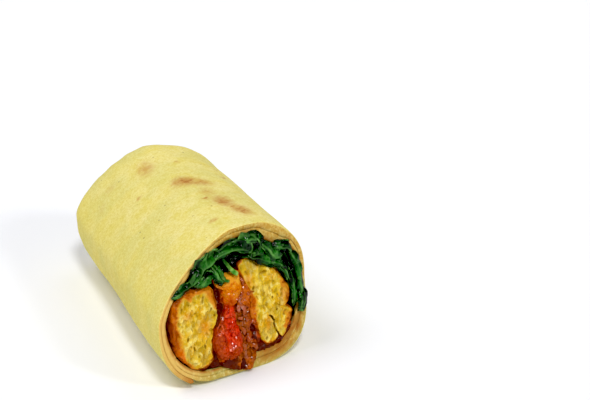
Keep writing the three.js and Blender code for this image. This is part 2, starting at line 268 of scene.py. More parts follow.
studio = {
    "cameraAt": (-0.2432, -0.7589, 0.3734),
    "cameraAim": (0.0641, 0.0766, 0.0),
    "focalLength": 167.5,
    "sensorWidth": 36.0,
    "clipStart": 0.01,
    "floorSize": 8.0,
    "floorDrop": 0.0001,
    "floorColour": (0.945, 0.955, 0.995, 1.0),
    "floorColourPale": (0.95, 0.96, 1.0, 1.0),
    "paperGrain": 60,
    "paperRoughness": 0.9,
    "skyColour": (1.0, 1.0, 1.0, 1.0),
    "skyStrength": 0.22,
    "blackPoint": 0.009,
    # Each soft light: where it shines from, how wide it looks in degrees, and its strength
    "lights": [
        ("keyLight", (-0.12, -0.66, 0.80), 10, 1.44),
        ("sideLight", (-0.52, 0.0, 0.84), 34, 1.16),
        ("rightLight", (0.46, 0.34, 0.82), 32, 0.3),
        ("frontLight", (0.42, -0.66, 0.50), 9, 0.66),
    ],
}


def facing(place, aim):
    return (Vector(aim) - Vector(place)).to_track_quat("-Z", "Y").to_euler()


def makeStudio():
    scene = bpy.context.scene
    scene.view_settings.view_transform = "Standard"
    # The picture's darkest tones are drawn down a little, as in a printed food photograph.
    scene.view_settings.use_curve_mapping = True
    scene.view_settings.curve_mapping.black_level = (studio["blackPoint"],) * 3
    scene.view_settings.curve_mapping.update()
    turn = facing(studio["cameraAt"], studio["cameraAim"])
    bpy.ops.object.camera_add(location=studio["cameraAt"], rotation=turn)
    camera = bpy.context.object
    camera.data.sensor_width = studio["sensorWidth"]
    camera.data.lens = studio["focalLength"]
    camera.data.clip_start = studio["clipStart"]
    scene.camera = camera
    for name, place, width, strength in studio["lights"]:
        bpy.ops.object.light_add(type="SUN", location=place, rotation=facing(place, (0, 0, 0)))
        lamp = bpy.context.object
        lamp.name = name
        lamp.data.angle = math.radians(width)
        lamp.data.energy = strength
    world = bpy.data.worlds.new("paleRoom")
    scene.world = world
    world.use_nodes = True
    sky = world.node_tree.nodes["Background"]
    sky.inputs["Color"].default_value = studio["skyColour"]
    sky.inputs["Strength"].default_value = studio["skyStrength"]
    bpy.ops.mesh.primitive_plane_add(size=studio["floorSize"], location=(0, 0, -studio["floorDrop"]))
    floor = bpy.context.object
    floor.name = "floor"
    paper = Finish("palePaper", studio, Roughness=studio["paperRoughness"])
    fibre = paper.grain(studio["paperGrain"], 3)
    paper.dress(Base_Color=paper.blend(studio["floorColour"], studio["floorColourPale"], fibre))
    floor.data.materials.append(paper.material)


makeStudio()
print("studio ready")


# The roll's own shape, as in the part's source

roll = {
    "length": 98.0,
    "width": 54.0,
    "height": 46.0,
    "widestAt": 23.0,
    "flatDepth": 0.8,
    # How square the section is in each quarter
    "upperRight": 2.4,
    "upperLeft": 1.38,
    "lowerLeft": 2.5,
    "lowerRight": 3.6,
    "cutSlant": 0.35,
    "cutLean": 0.13,
    "endTaper": 0.09,
    "endRound": 17.0,
    "endSquareness": 2.8,
    "endWall": 9.0,
    "hollowRound": 0.6,  # the hollow's end rounds off over this share of the outside's
    "layer": 1.3,
    "lump": 0.45,
    # How thick the wall is, by the angle round it in degrees
    "wall": [
        (0, 2.4), (22, 2.7), (34, 3.0), (46, 5.8), (57, 5.6), (68, 3.8), (90, 3.2), (112, 2.4), (150, 2.1),
        (180, 2.5), (212, 3.7), (270, 5.1), (292, 5.5), (314, 5.3), (330, 4.7), (346, 3.2), (360, 2.4),
    ],
    "sheetStart": 212.0,  # angles of the sheet's inner and outer ends, in degrees
    "seam": 236.0,
    "seamFade": 62.0,
}


def slimming(y):
    # The roll gets slimmer towards its folded end.
    return 1 - roll["endTaper"] * smooth(y, 0, roll["length"])


def cutAt(x, z):
    # Where the slanted cut is, along y
    return roll["cutSlant"] * x + roll["cutLean"] * (z - roll["widestAt"])


def inset(angle, depth=0.0):
    # A point of the roll's section at a depth under its outline, for an angle in degrees
    c, s = direction(angle)
    upper = np.where(c >= 0, roll["upperRight"], roll["upperLeft"])
    lower = np.where(c >= 0, roll["lowerRight"], roll["lowerLeft"])
    power = np.where(s >= 0, upper, lower)
    reach = (np.abs(c) ** power + np.abs(s) ** power) ** (-1 / power)
    rise = np.where(s >= 0, roll["height"] - roll["widestAt"], roll["widestAt"] + roll["flatDepth"])
    x, z = roll["width"] / 2 * reach * c, rise * reach * s
    share = 1 - depth / np.hypot(x, z)
    return x * share, roll["widestAt"] + z * share


def wallAt(angle):
    # How thick the wall of rolled tortilla is
    return between(roll["wall"], np.mod(angle, 360))


def lumps(angle, y):
    # How far the roll's outside swells over its fillings
    c, s = direction(angle)
    return roll["lump"] * rough(3 + 2.2 * c, 5 + 2.2 * s, y / 26)


def along(x, z, y):
    # A point of the section in its place along the roll
    size = slimming(y)
    return x * size, y, z * size


def endOf(hollow):
    # Where the roll or its hollow ends, and over what length it rounds off to there
    if hollow:
        return roll["length"] - roll["endWall"], roll["endRound"] * roll["hollowRound"]
    return roll["length"], roll["endRound"]


# The room inside the roll, as its reach from the middle for each direction round it
roomAngles = np.linspace(-360, 720, 3241)
roomX, roomZ = inset(roomAngles, wallAt(roomAngles))
roomTurn = np.unwrap(np.arctan2(roomZ - roll["widestAt"], roomX))
halfWay = len(roomAngles) // 2
wholeTurns = round((roomTurn[halfWay] - math.radians(roomAngles[halfWay])) / (2 * math.pi))
roomTurn = roomTurn - 2 * math.pi * wholeTurns
roomReach = np.hypot(roomX, roomZ - roll["widestAt"])


def keepInside(x, z, y=0.0, clearance=0.25):
    # Moves points that would be in the tortilla back into the room inside it
    up = z - roll["widestAt"]
    reach = np.hypot(x, up)
    end, bend = endOf(True)
    power = roll["endSquareness"]
    ending = np.clip((y - end + bend + clearance) / bend, 0, 0.995)
    closing = np.sqrt(np.clip(1 - ending ** power, 0, 1)) ** (2 / power)
    limit = (np.interp(np.arctan2(up, x), roomTurn, roomReach) - clearance) * closing
    share = np.where(reach > limit, limit / np.maximum(reach, 1e-6), 1)
    return x * share, roll["widestAt"] + up * share


# The tortilla: one long sheet, rolled up twice

tortilla = {
    "columns": 250,
    "stationsAlong": 62,
    "stationsOverEnd": 24,
    "corner": 0.35,
    "crumbRelief": 0.16,
    "layerGap": 0.11,
    "layerLine": (0.66, 0.34),  # how deep in the wall the line between the layers starts and ends
    # How open the line between the layers is, by the angle along the rolled sheet
    "layerOpen": [
        (212, 0.4), (232, 0.15), (262, 0.08), (300, 0.3), (330, 0.5), (352, 1.1), (385, 1.0), (405, 0.25),
        (430, 0.06), (520, 0.02), (560, 0.05), (575, 0.1), (596, 0.2), (956, 0.2),
    ],
    "dent": 0.18,
    "pleat": 0.3,
    "foldTurns": 1 + roll["seam"] / 360,
    "foldRelief": 2.6,
    "endTwist": 100,  # how far the sheet's end turns round over the folded end, in degrees
    "foldStep": 0.7,
    # Toasted marks: place (x, y, z), reach across, along and up, and how brown
    "toasted": [
        ((-5.6, 70, 40.8), (3.6, 5.5, 2.5), 0.5),
        ((4.2, 67.6, 42.8), (1.2, 1.2, 2.0), 0.5),
        ((0.8, 48.2, 44.0), (4.4, 4.2, 3.0), 0.8),
        ((5.0, 45.5, 44.0), (3.8, 3.6, 3.0), 0.66),
        ((4.0, 36.0, 45.0), (2.6, 5.2, 3.0), 0.42),
        ((5.9, 26.0, 45.1), (3.4, 5.4, 3.0), 0.74),
        ((9.2, 18.0, 45.0), (3.4, 5.0, 3.0), 0.7),
        ((1.3, 29.9, 45.1), (1.1, 0.9, 2.0), 1.0),
        ((7.3, 21.0, 45.2), (1.0, 1.4, 2.0), 0.9),
        ((-1.9, 12.5, 45.3), (1.5, 0.9, 2.0), 0.8),
        ((-12.6, 55.2, 37.4), (0.9, 0.8, 1.5), 0.7),
        ((-16.3, 75.0, 33.2), (2.2, 2.5, 2.5), 0.3),
        ((-20.7, 69.7, 29.1), (1.6, 2.2, 2.0), 0.25),
    ],
    # Small marks strewn over its sides
    "strewn": {"count": 34, "seed": 5, "angle": (-118, 62), "y": (6, 96), "size": [0.8, 1.1, 1.6, 2.6, 3.6]},
    "dough": "#e8d86e",
    "doughPale": "#f2e7a4",
    "doughDeep": "#d6c056",
    "doughGreenish": "#dcd47c",
    "fleck": "#94783c",
    "doughCut": "#c4963c",
    "doughCutPale": "#d8bc68",
    "doughCutLight": "#b4a452",
    "doughCutWarm": "#e2bb66",
    "doughStained": "#a85a14",
    "stainAndGapShade": "#4a0d03",
    "toast": "#c08340",
    "toastedCut": "#a06c2c",
    "toastDark": "#94561e",
}


def foldPlace(angle, shrink):
    # The folded end is rolled too: a spiral valley runs from its rim to its middle.
    c, s = direction(angle)
    wander = 0.05 * rough(2.2 * c, 2.2 * s, shrink * 3)
    return np.mod(shrink * tortilla["foldTurns"] - angle / 360 + wander, 1)


def foldedEnd(angle, shrink):
    # How far the folded end lies back from a plain round one
    place = foldPlace(angle, shrink)
    valley = (1 - np.sin(math.pi * place)) ** 1.5
    rise = tortilla["foldStep"] * (1 - place)
    return (tortilla["foldRelief"] * valley + rise) * smooth(1 - shrink, 0.02, 0.25)


def overEnd(angle, run):
    # How far a point has turned over the end, how much of its section is left there, and its angle,
    # which twists. The run goes from 0 at the cut to 1 where the end starts to round off, and to 2
    # in the middle of the end.
    turn = np.clip(run - 1, 0, 1) * math.pi / 2 * 0.9995
    shrink = np.cos(turn) ** (2 / roll["endSquareness"])
    return turn, shrink, angle - tortilla["endTwist"] * smooth(run, 1.1, 2.0)


def foldLine(angle, run):
    # How near a point of the end is to the bottom of the spiral valley, which the finish darkens with
    # painted shade
    _, shrink, angle = overEnd(angle, run)
    place = foldPlace(angle, shrink)
    return (1 - smooth(np.minimum(place, 1 - place), 0.0, 0.07)) * smooth(1 - shrink, 0.02, 0.25)


def rollSkin(angle, run, lift, hollow):
    # A point of the roll's outside, or of its hollow
    end, bend = endOf(hollow)
    turn, shrink, angle = overEnd(angle, run)
    share = np.clip(run, 0, 1)
    y = share * (end - bend) + bend * np.sin(turn) ** (2 / roll["endSquareness"])
    c, s = direction(angle)
    depth = -lumps(angle, y)
    if hollow:
        depth = wallAt(angle) + depth
    else:
        dents = rough(7 + 3.6 * c, 2 + 3.6 * s, y / 13) + 0.5 * rough(1 + 8 * c, 4 + 8 * s, y / 7)
        pleats = rough(9 + 7 * c, 6 + 7 * s, y / 40) * smooth(y, 62, 88)
        depth = depth - tortilla["dent"] * dents * smooth(y, 0, 9) - tortilla["pleat"] * pleats
    x, z = inset(angle, depth)
    y = np.where(turn > 0, y, lerp(cutAt(x, z) + lift, end - bend, share))
    if not hollow:
        y = y - foldedEnd(angle, shrink)
    z = lerp(roll["widestAt"], z, shrink)
    return np.stack(along(x * shrink, np.maximum(z, 0), y))


def toastedAt(points):
    # How toasted the tortilla is at a point of its outside
    x, y, z = points
    wobble = 1 + 0.35 * rough(x / 2.2, y / 2.2, z / 2.2) + 0.2 * rough(x / 0.9, y / 0.9, z / 0.9)
    strewn = tortilla["strewn"]
    dice = random.Random(strewn["seed"])
    marks = list(tortilla["toasted"])
    for _ in range(strewn["count"]):
        angle, my = dice.uniform(*strewn["angle"]), dice.uniform(*strewn["y"])
        size = dice.choice(strewn["size"])
        reach = (size, size * dice.uniform(0.7, 2.0), size)
        marks.append((along(*inset(angle), my), reach, dice.uniform(0.3, 0.8)))
    total = np.zeros_like(x)
    for (mx, my, mz), (rx, ry, rz), strength in marks:
        away = ((x - mx) / rx) ** 2 + ((y - my) / ry) ** 2 + ((z - mz) / rz) ** 2
        total = np.maximum(total, strength * np.exp(-away * wobble * 0.9))
    return total


def makeTortilla():
    start, last = roll["sheetStart"], roll["seam"] + 720
    lap = roll["seam"] + 360  # from here on the sheet is the outside of the roll
    nose = np.array([0, 0.12, 0.45, 1.0, 1.7, 2.6])  # close columns, where an end of the sheet is rounded
    middle = np.linspace(start + 4.5, last - 4.5, tortilla["columns"])
    turns = np.concatenate([start + nose, middle, last - nose[::-1]])
    straight = np.linspace(0, 1, tortilla["stationsAlong"], endpoint=False) ** 1.35
    runs = np.concatenate([straight, 1 + np.linspace(0, 1, tortilla["stationsOverEnd"]) ** 0.9])
    corner = tortilla["corner"]
    # The loop round the sheet: its outer side from the end to the cut, its cut edge, its inner side
    edge = [(0.04, 0.4 * corner), (0.16, 0.03), (0.5, -0.03), (0.84, 0.03), (0.96, 0.4 * corner)]
    loop = [(run, 0.0, corner) for run in runs[::-1]]
    loop = loop + [(0.0, share, lift) for share, lift in edge]
    loop = loop + [(run, 1.0, corner) for run in runs]
    loop = np.array(loop + [loop[0]])

    def lineAt(angle):
        return lerp(*tortilla["layerLine"], np.clip((angle - start) / (lap - start), 0, 1))

    def place(column, row):
        angle = turns[column]
        run, share, lift = loop[row].T
        wall = wallAt(angle)
        # The sheet's two sides, as shares of the wall's depth
        gap = tortilla["layerGap"] * np.interp(angle, *zip(*tortilla["layerOpen"])) / wall / 2
        drop = roll["layer"] * (1 - smooth(angle, lap, lap + roll["seamFade"]))
        outer = lerp(lineAt(angle) + gap, drop / wall, smooth(angle, lap - 2, lap + 2))
        inner = lerp(1.0, lineAt(angle - 360) - gap, smooth(angle, start + 359, start + 363.5))
        fromEnd = np.minimum(angle - start, last - angle)
        thick = np.sqrt(1 - (1 - np.clip(fromEnd / nose[-1], 0, 1)) ** 2)
        centre = (outer + inner) / 2
        part = lerp(lerp(centre, outer, thick), lerp(centre, inner, thick), share)
        # Over the folded end the step at the seam fades out.
        part = part * lerp(1, 1 - smooth(run, 1.2, 1.9), (1 - share) * (angle > lap))
        onEdge = (share > 0) & (share < 1)
        torn = tortilla["crumbRelief"] * crumbly(angle / 3.1, share * wall * 1.4, 2.0)
        lift = lift + torn * onEdge * thick
        points = lerp(rollSkin(angle, run, lift, False), rollSkin(angle, run, lift, True), part)
        onCut = onEdge | (run == 0)
        innermost = angle < start + 360
        # On the cut the sheet is toasted at the lower right, but not near its outside, light at its foot
        # and warm on the left.
        turned = np.mod(angle, 360)
        browned = smooth(part, 0.2, 0.42) * smooth(turned, 280, 298) * smooth(turned, 354, 336)
        lightCut = smooth(turned, 215, 250) * np.maximum(smooth(turned, 306, 282), smooth(part, 0.32, 0.16))
        brownRim = smooth(last - angle, 24, 4) * smooth(run, 0.1, 0.0)
        sauced = smooth(share, 0.45, 0.9) * smooth(rough(angle / 16, 2, 4) + 0.5, 0, 0.7)
        marks = {
            # The inside of the innermost layer right at the cut is near-black: sauce stain with painted
            # shade of the gap between sheet and filling
            "stainAndGapShade": smooth(run, 0.0, 0.02) * (share == 1) * innermost,
            "sauced": sauced * onCut * innermost,
            "cutEdge": onCut * np.where(angle > lap, smooth(share, -0.03, 0.2), 1.0),
            "toast": toastedAt(points) * (share == 0) * (angle > lap - 5),
            "brownRim": brownRim * smooth(rough(angle / 5, run * 9, 8) + 0.9, 0.1, 1.2),
            "browned": browned * onCut * smooth(crumbly(angle / 7, part * 6, 5) + 0.75, 0.1, 0.9),
            "lightCut": lightCut * onCut,
            "warmCut": smooth(turned, 95, 130) * smooth(turned, 252, 225) * onCut,
            "fold": foldLine(angle, run),
        }
        return points, marks

    return addSurface("tortilla_sheet", len(turns), len(loop), place, gap=0.002)


def tortillaFinish():
    finish = Finish("toastedTortilla", tortilla, Roughness=0.7, Specular_IOR_Level=0.08)
    mark, grain = finish.mark, finish.grain
    toast, cut, lightCut, browned = mark("toast"), mark("cutEdge"), mark("lightCut"), mark("browned")
    broad, cloudy, mottle = grain(75, 2), grain(140, 3), grain(480, 3, 0.55)
    streak, speckle = grain(260, 3, 0.6), grain(620, 4, 0.65)
    crumb, fine = grain(900, 4, 0.65), grain(1500, 3, 0.6)
    blister = finish.cells(260, "SMOOTH_F1")
    fleck = finish.cells(230) + grain(120, 2) * 0.35
    # Painted light: pale patches lie thicker towards the top of the roll, so its top is painted paler than
    # its sides
    high = finish.node("ShaderNodeSeparateXYZ", {}, {"Vector": finish.place}, "Z").step(0.018, 0.044)
    outside = finish.paint("dough", [
        ("doughPale", cloudy.step(0.25, 0.75) * (0.25 + high * 0.45)),
        ("doughPale", mottle.step(0.36, 0.72) * (0.12 + high * 0.3)),
        ("doughGreenish", broad.step(0.42, 0.64) * 0.55),
        ("doughDeep", mottle.step(0.5, 0.32) * 0.2),
        ("doughDeep", fine.step(0.52, 0.4) * 0.4),
        ("doughPale", fine.step(0.52, 0.64) * 0.35),
        ("fleck", fleck.step(0.26, 0.17) * 0.75),
        ("toast", (toast * (0.75 + speckle.step(0.3, 0.7) * 0.5)).step(0.0, 0.85) * 0.9),
        ("toastDark", (toast * speckle.step(0.35, 0.62)).step(0.42, 0.9) * 0.75),
    ])
    inside = finish.paint("doughCut", [
        ("doughCutPale", crumb.step(0.4, 0.6)),
        ("doughCutLight", lightCut * (0.35 + streak.step(0.3, 0.6) * 0.55)),
        ("toast", streak.step(0.54, 0.72) * (0.5 - lightCut * 0.35)),
        ("doughCutWarm", mark("warmCut") * 0.8),
        ("doughPale", lightCut * crumb.step(0.52, 0.66) * 0.4),
        ("doughStained", mark("sauced") * (0.35 + streak.step(0.4, 0.6) * 0.5)),
    ])
    colour = finish.paint(outside, [
        (inside, cut.step(0.25, 0.9)),
        ("stainAndGapShade", mark("stainAndGapShade")),
        ("toastedCut", browned * (0.75 + crumb.step(0.4, 0.6) * 0.25)),
        ("doughStained", browned * streak.step(0.42, 0.62) * 0.5),
        # Painted shade in the bottom of the folded end's spiral valley
        ("doughDeep", mark("fold") * 0.8),
        ("doughStained", mark("brownRim") * 0.8),
    ])
    height = mottle * 0.5 + blister * 0.35 + fine * 0.15 + crumb * cut * 0.8
    finish.dress(Base_Color=colour, Normal=finish.relief(height, 0.0005, 0.17 + cut * 0.14))
    return finish


serve(makeTortilla(), "tortilla", tortillaFinish())
print("tortilla rolled")


# Lumps of filling, which run through the roll and show their cut faces. The dictionary of each gives its
# middle, its size and lean, how proud of the cut it stands and where it ends, how high and how long its
# crags are, the bulge of the cut face's rim, and the columns and rows of points on that face.

def lumpPoint(shape, angle, share, size):
    # A point of a lump's outside, as in the part's source
    c, s = direction(angle)
    power = shape["squareness"]
    reach = (np.abs(c) ** power + np.abs(s) ** power) ** (-1 / power)
    length = lerp(-shape["proud"], shape["end"], share)
    knob = shape["crag"] * rough(shape["seed"] + c * 2.1, s * 2.1 + 7, length / shape["grain"])
    across = c * (shape["width"] / 2 * reach + knob) * size
    up = s * (shape["height"] / 2 * reach + knob) * size
    leanC, leanS = direction(shape["lean"])
    x, z = across * leanC - up * leanS, across * leanS + up * leanC
    if "rimLine" in shape:
        # On the cut face the piece has the outline of its own rim line, which fades out behind it.
        line = np.array(shape["rimLine"]) - (shape["x"], shape["z"])
        turns = np.arctan2(line[:, 1], line[:, 0])
        order = np.argsort(turns)
        reaches = np.interp(np.arctan2(z, x), turns[order], np.hypot(*line.T)[order], period=2 * math.pi)
        knobs = 0.3 * rough(shape["seed"] + x / 1.7, z / 1.7, 1)
        own = (reaches + knobs) * size / np.maximum(np.hypot(x, z), 1e-9)
        fit = lerp(own, 1.0, smooth(length, 1.0, 14.0))
        x, z = x * fit, z * fit
    return shape["x"] + x, shape["z"] + z


def makeLump(name, shape, face):
    # face is a function that gives the height of the cut face and its marks, for points of the section.
    columns, faceRows, end = shape["columns"], shape["faceRows"], shape["end"]
    isLong = end > 12
    # Rows of points: from the middle of the cut face to its rim, back along the lump, and its closed end
    backs = np.array([0.4, 1.0, 2.0, 3.5, 6.0, 11.0, 20.0, 32.0, 44.0, 56.0, 66.0, 73.0, 78.0, 82.0])
    backs = backs[backs < end - 4] if isLong else np.linspace(0.4, end - 1, 5)
    sizes = np.concatenate([np.linspace(0.004, 1, faceRows), np.ones(len(backs)), [0.93, 0.75, 0.45, 0.004]])
    ends = end - np.array([1.2, 0.5, 0.1, 0.0]) * (3 if isLong else 0.8)
    depths = np.concatenate([np.zeros(faceRows), backs, ends])

    def place(column, row):
        angle = column / (columns - 1) * 360
        size, depth = sizes[row], depths[row]
        onFace = row < faceRows
        share = np.clip((depth + shape["proud"]) / (end + shape["proud"]), 0, 1) * (depth > 0)
        x, z = lumpPoint(shape, angle, share, size)
        height, marks = face(x, z, np.where(onFace, size, 1), angle)
        knobbly = 0.25 * crumbly(x / 2.6 + shape["seed"], z / 2.6, depth / 2.6)
        knobbly = knobbly * smooth(size, 0.8, 1) * (row >= faceRows - 3)
        c, s = direction(angle)
        x, z = x + knobbly * c, z + knobbly * s
        if shape.get("inside", True):
            x, z = keepInside(x, z, depth)
        bulge = smooth(size, 0.86, 1.0) ** 2 * shape["shoulder"]
        front = cutAt(x, z) - shape["proud"] - onFace * height * (1 - smooth(size, 0.93, 1.0)) + bulge
        y = np.where(onFace, front, lerp(front, end, np.clip(depth / end, 0, 1)))
        marks = {mark: np.where(onFace, values, 0.0) for mark, values in marks.items()}
        marks["crust"] = np.where(onFace, marks.get("crust", 0.0), 1.0)
        # deep marks the sides behind the cut; the bhaji and chutney finishes darken them as painted shade in
        # the gaps round each lump
        marks["deep"] = smooth(depth, 0.5, 4.0)
        return along(x, np.maximum(z, 0.15), y), marks

    return addSurface(name, columns, len(sizes), place)


def headed(x, z, middleX, middleZ, heading):
    # How far points are from a middle, along a heading in degrees and across it
    c, s = direction(heading)
    return (x - middleX) * c + (z - middleZ) * s, (z - middleZ) * c - (x - middleX) * s


def strandField(x, z, strands):
    # Height and tone of short bent strands that lie on a cut face: each has a middle, a heading in
    # degrees, a half length and half width, a bend, a height and a tone.
    height = np.zeros_like(x)
    tone = np.full_like(x, 0.5)
    for sx, sz, heading, length, width, bend, rise, shade in strands:
        run, across = headed(x, z, sx, sz, heading)
        across = across - bend * (run / length) ** 2
        tip = np.clip((np.abs(run) - length * 0.65) / (length * 0.35), 0, None)
        body = np.clip(1 - (across / width) ** 2 - tip ** 2, 0, 1)
        top = rise * np.sqrt(body)
        tone = np.where((top > height) & (body > 0.05), shade, tone)
        height = np.maximum(height, top)
    return height, tone


def somewhereOn(shape, dice, share):
    # A random place on a cut face, within a share of its reach
    turn, out = dice.uniform(0, 2 * math.pi), math.sqrt(dice.random()) * share
    across, up = math.cos(turn) * out * shape["width"] / 2, math.sin(turn) * out * shape["height"] / 2
    return shape["x"] + across, shape["z"] + up


def scatterStrands(shape, dice, lengths, widths, rises):
    # lengths, widths and rises give the least and the most half length, half width and height.
    strands = []
    for _ in range(shape["strands"]):
        middle = somewhereOn(shape, dice, 0.92)
        size = dice.uniform(*lengths), dice.uniform(*widths)
        bend, rise = dice.uniform(-1.2, 1.2), dice.uniform(*rises)
        heading = dice.gauss(shape["heading"], shape["spread"])
        strands.append((*middle, heading, *size, bend, rise, dice.random()))
    return strands


def scatterPits(shape, dice, sizes):
    # Each pit has a middle, a half width, a half length and a heading.
    pits = []
    for _ in range(shape["pits"]):
        middle = somewhereOn(shape, dice, 0.95)
        size = lerp(*sizes, dice.random() ** 2.2)
        pits.append((*middle, size, size * dice.uniform(0.9, 2.2), dice.uniform(60, 120)))
    return pits


def pitField(x, z, pits):
    # How deep in a pit each point is, from 0 to 1
    deep = np.zeros_like(x)
    for px, pz, width, length, heading in pits:
        run, across = headed(x, z, px, pz, heading)
        deep = np.maximum(deep, 1 - smooth(np.hypot(run / length, across / width), 0.35, 1.15))
    return deep


def knobField(x, z, knobs):
    # The height of round knobs: each has a middle, a radius and a height.
    height = np.zeros_like(x)
    for kx, kz, radius, rise in knobs:
        away = np.hypot(x - kx, z - kz) / radius
        height = np.maximum(height, rise * np.sqrt(np.clip(1 - away ** 2, 0, 1)))
    return height


def crackField(x, z, line, width):
    # How near each point is to a crack that runs through the given points, from 0 to 1
    near = np.full_like(x, 99.0)
    for (ax, az), (bx, bz) in zip(line, line[1:]):
        length = (bx - ax) ** 2 + (bz - az) ** 2
        share = np.clip(((x - ax) * (bx - ax) + (z - az) * (bz - az)) / length, 0, 1)
        near = np.minimum(near, np.hypot(x - ax - share * (bx - ax), z - az - share * (bz - az)))
    return 1 - smooth(near, width * 0.35, width)


# Wet beads are small facets with this tilt, across and up, and this radius of curvature.
bead = {"tiltAcross": 0.265, "tiltUp": -0.457, "round": 2.2}


def addGlints(x, z, height, glints):
    # Beads that catch the light: the new height, and how near a point is to one
    wet = np.zeros_like(x)
    for gx, gz, radius in glints:
        across, up = x - gx, z - gz
        away = np.hypot(across, up)
        facet = bead["tiltAcross"] * across + bead["tiltUp"] * up - away ** 2 / (2 * bead["round"])
        share = smooth(away, radius * 1.5, radius * 0.9)
        height = lerp(height, height.flat[np.argmin(away)] + facet, share)
        wet = np.maximum(wet, share)
    return height, wet


# The onion bhajis: bound onion strands in batter, with a fried crust

bhajiLeft = {
    "x": -15.4, "z": 17.8, "width": 20.5, "height": 26.5, "lean": -5, "squareness": 2.4, "proud": 0.7,
    "end": 88.0, "crag": 1.3, "grain": 9.0, "seed": 11, "shoulder": 0.9, "columns": 230, "faceRows": 62,
    "rimLine": [
        (-20.9, 28.7), (-17.6, 30.6), (-13.3, 31.2), (-9.7, 31.4), (-7.6, 30.1), (-6.6, 27.3), (-5.4, 22.9),
        (-5.2, 20.6), (-6.2, 19.0), (-7.4, 17.1), (-8.4, 13.6), (-8.3, 9.5), (-8.0, 7.3), (-10.6, 5.6),
        (-13.6, 5.5), (-15.9, 6.6), (-18.2, 9.0), (-20.2, 11.4), (-22.1, 16.0), (-22.8, 20.1), (-22.6, 22.8),
        (-21.9, 26.0),
    ],
    # At angles round the bhaji: how deep its crust is, how golden and how dark
    "crustDepth": [
        (0, 0.6), (60, 2.2), (110, 2.0), (150, 3.0), (185, 4.6), (225, 4.6), (262, 1.8), (300, 0.9),
        (360, 0.6),
    ],
    "golden": [(0, 0.9), (80, 0.6), (115, 0.1), (240, 0.0), (280, 0.6), (360, 0.9)],
    "seared": [
        (0, 0.0), (95, 0.2), (130, 1.0), (160, 0.9), (185, 0.7), (205, 0.2), (240, 0.1), (300, 0.4),
        (360, 0.0),
    ],
    "strands": 74, "heading": 96, "spread": 24, "pits": 48,
    # Larger holes: middle, half width, half length and heading
    "holes": [
        (-11.1, 27.3, 0.75, 1.3, 70), (-8.3, 23.5, 0.5, 0.7, 90), (-7.2, 21.2, 0.5, 0.7, 80),
        (-17.1, 16.6, 0.45, 0.9, 80), (-11.1, 12.9, 0.4, 1.3, 95), (-14.9, 12.8, 0.35, 1.2, 100),
    ],
    # Amber patches: middle, and reach across and up
    "amber": [(-10.9, 18.6, 2.4, 3.4), (-16.8, 24.0, 1.6, 1.6)],
}
bhajiRight = {
    "x": 12.2, "z": 20.2, "width": 16.8, "height": 29.5, "lean": 13, "squareness": 2.3, "proud": 0.9,
    "end": 88.0, "crag": 1.4, "grain": 8.0, "seed": 31, "shoulder": 1.0, "columns": 230, "faceRows": 62,
    "rimLine": [
        (2.3, 33.8), (3.7, 35.3), (6.1, 35.4), (8.0, 33.9), (10.4, 33.6), (12.8, 32.1), (15.0, 30.3),
        (16.9, 28.3), (18.3, 26.0), (18.9, 24.1), (20.4, 22.6), (20.6, 20.0), (20.2, 17.7), (18.8, 16.8),
        (21.4, 14.9), (20.8, 12.9), (20.0, 10.9), (18.8, 8.6), (17.4, 6.7), (15.9, 7.7), (14.6, 6.5),
        (13.1, 6.0), (11.3, 5.8), (9.6, 7.4), (8.4, 10.6), (7.2, 13.6), (5.4, 16.6), (5.2, 20.2),
        (5.5, 23.4), (5.1, 26.4), (2.8, 30.8),
    ],
    "crustDepth": [
        (0, 1.8), (45, 1.0), (80, 0.9), (124, 0.7), (136, 2.0), (160, 3.4), (185, 3.2), (208, 1.2),
        (245, 0.8), (278, 1.0), (300, 1.6), (318, 2.8), (335, 1.6), (360, 1.8),
    ],
    "golden": [(0, 0.9), (90, 1.0), (135, 0.5), (160, 0.1), (230, 0.1), (280, 0.6), (360, 0.9)],
    "seared": [
        (0, 0.1), (60, 0.4), (90, 0.5), (115, 0.1), (150, 0.4), (200, 0.5), (280, 0.3), (310, 0.6),
        (360, 0.1),
    ],
    "strands": 78, "heading": 88, "spread": 22, "pits": 44,
    "holes": [
        (4.9, 31.2, 0.35, 1.0, 120), (10.9, 29.8, 0.5, 1.9, 15), (13.7, 21.0, 0.4, 0.6, 90),
        (15.3, 16.7, 0.45, 0.6, 90), (18.0, 14.9, 0.8, 1.2, 60), (7.2, 17.8, 0.5, 1.0, 100),
        (11.1, 8.6, 0.6, 0.8, 60),
    ],
    "crack": [(12.6, 15.6), (13.5, 14.6), (14.2, 13.5), (14.0, 12.2), (14.9, 10.1), (16.2, 7.4)],
    "amber": [(12.0, 13.4, 1.2, 2.6), (18.2, 21.5, 1.4, 3.6), (5.2, 28.6, 1.5, 3.2), (9.0, 32.6, 1.2, 0.7)],
}
bhajiLook = {
    "crumb": "#e4be2c",
    "crumbPale": "#f9ea88",
    "crumbGold": "#dba012",
    "crumbShade": "#8c7014",
    "amber": "#dc8416",
    "crust": "#d4660f",
    "crustPale": "#e6943a",
    "crustTan": "#dfa030",
    "crustDark": "#7a2a0a",
    "pit": "#94701a",
    "pitDark": "#6a3c0a",
}


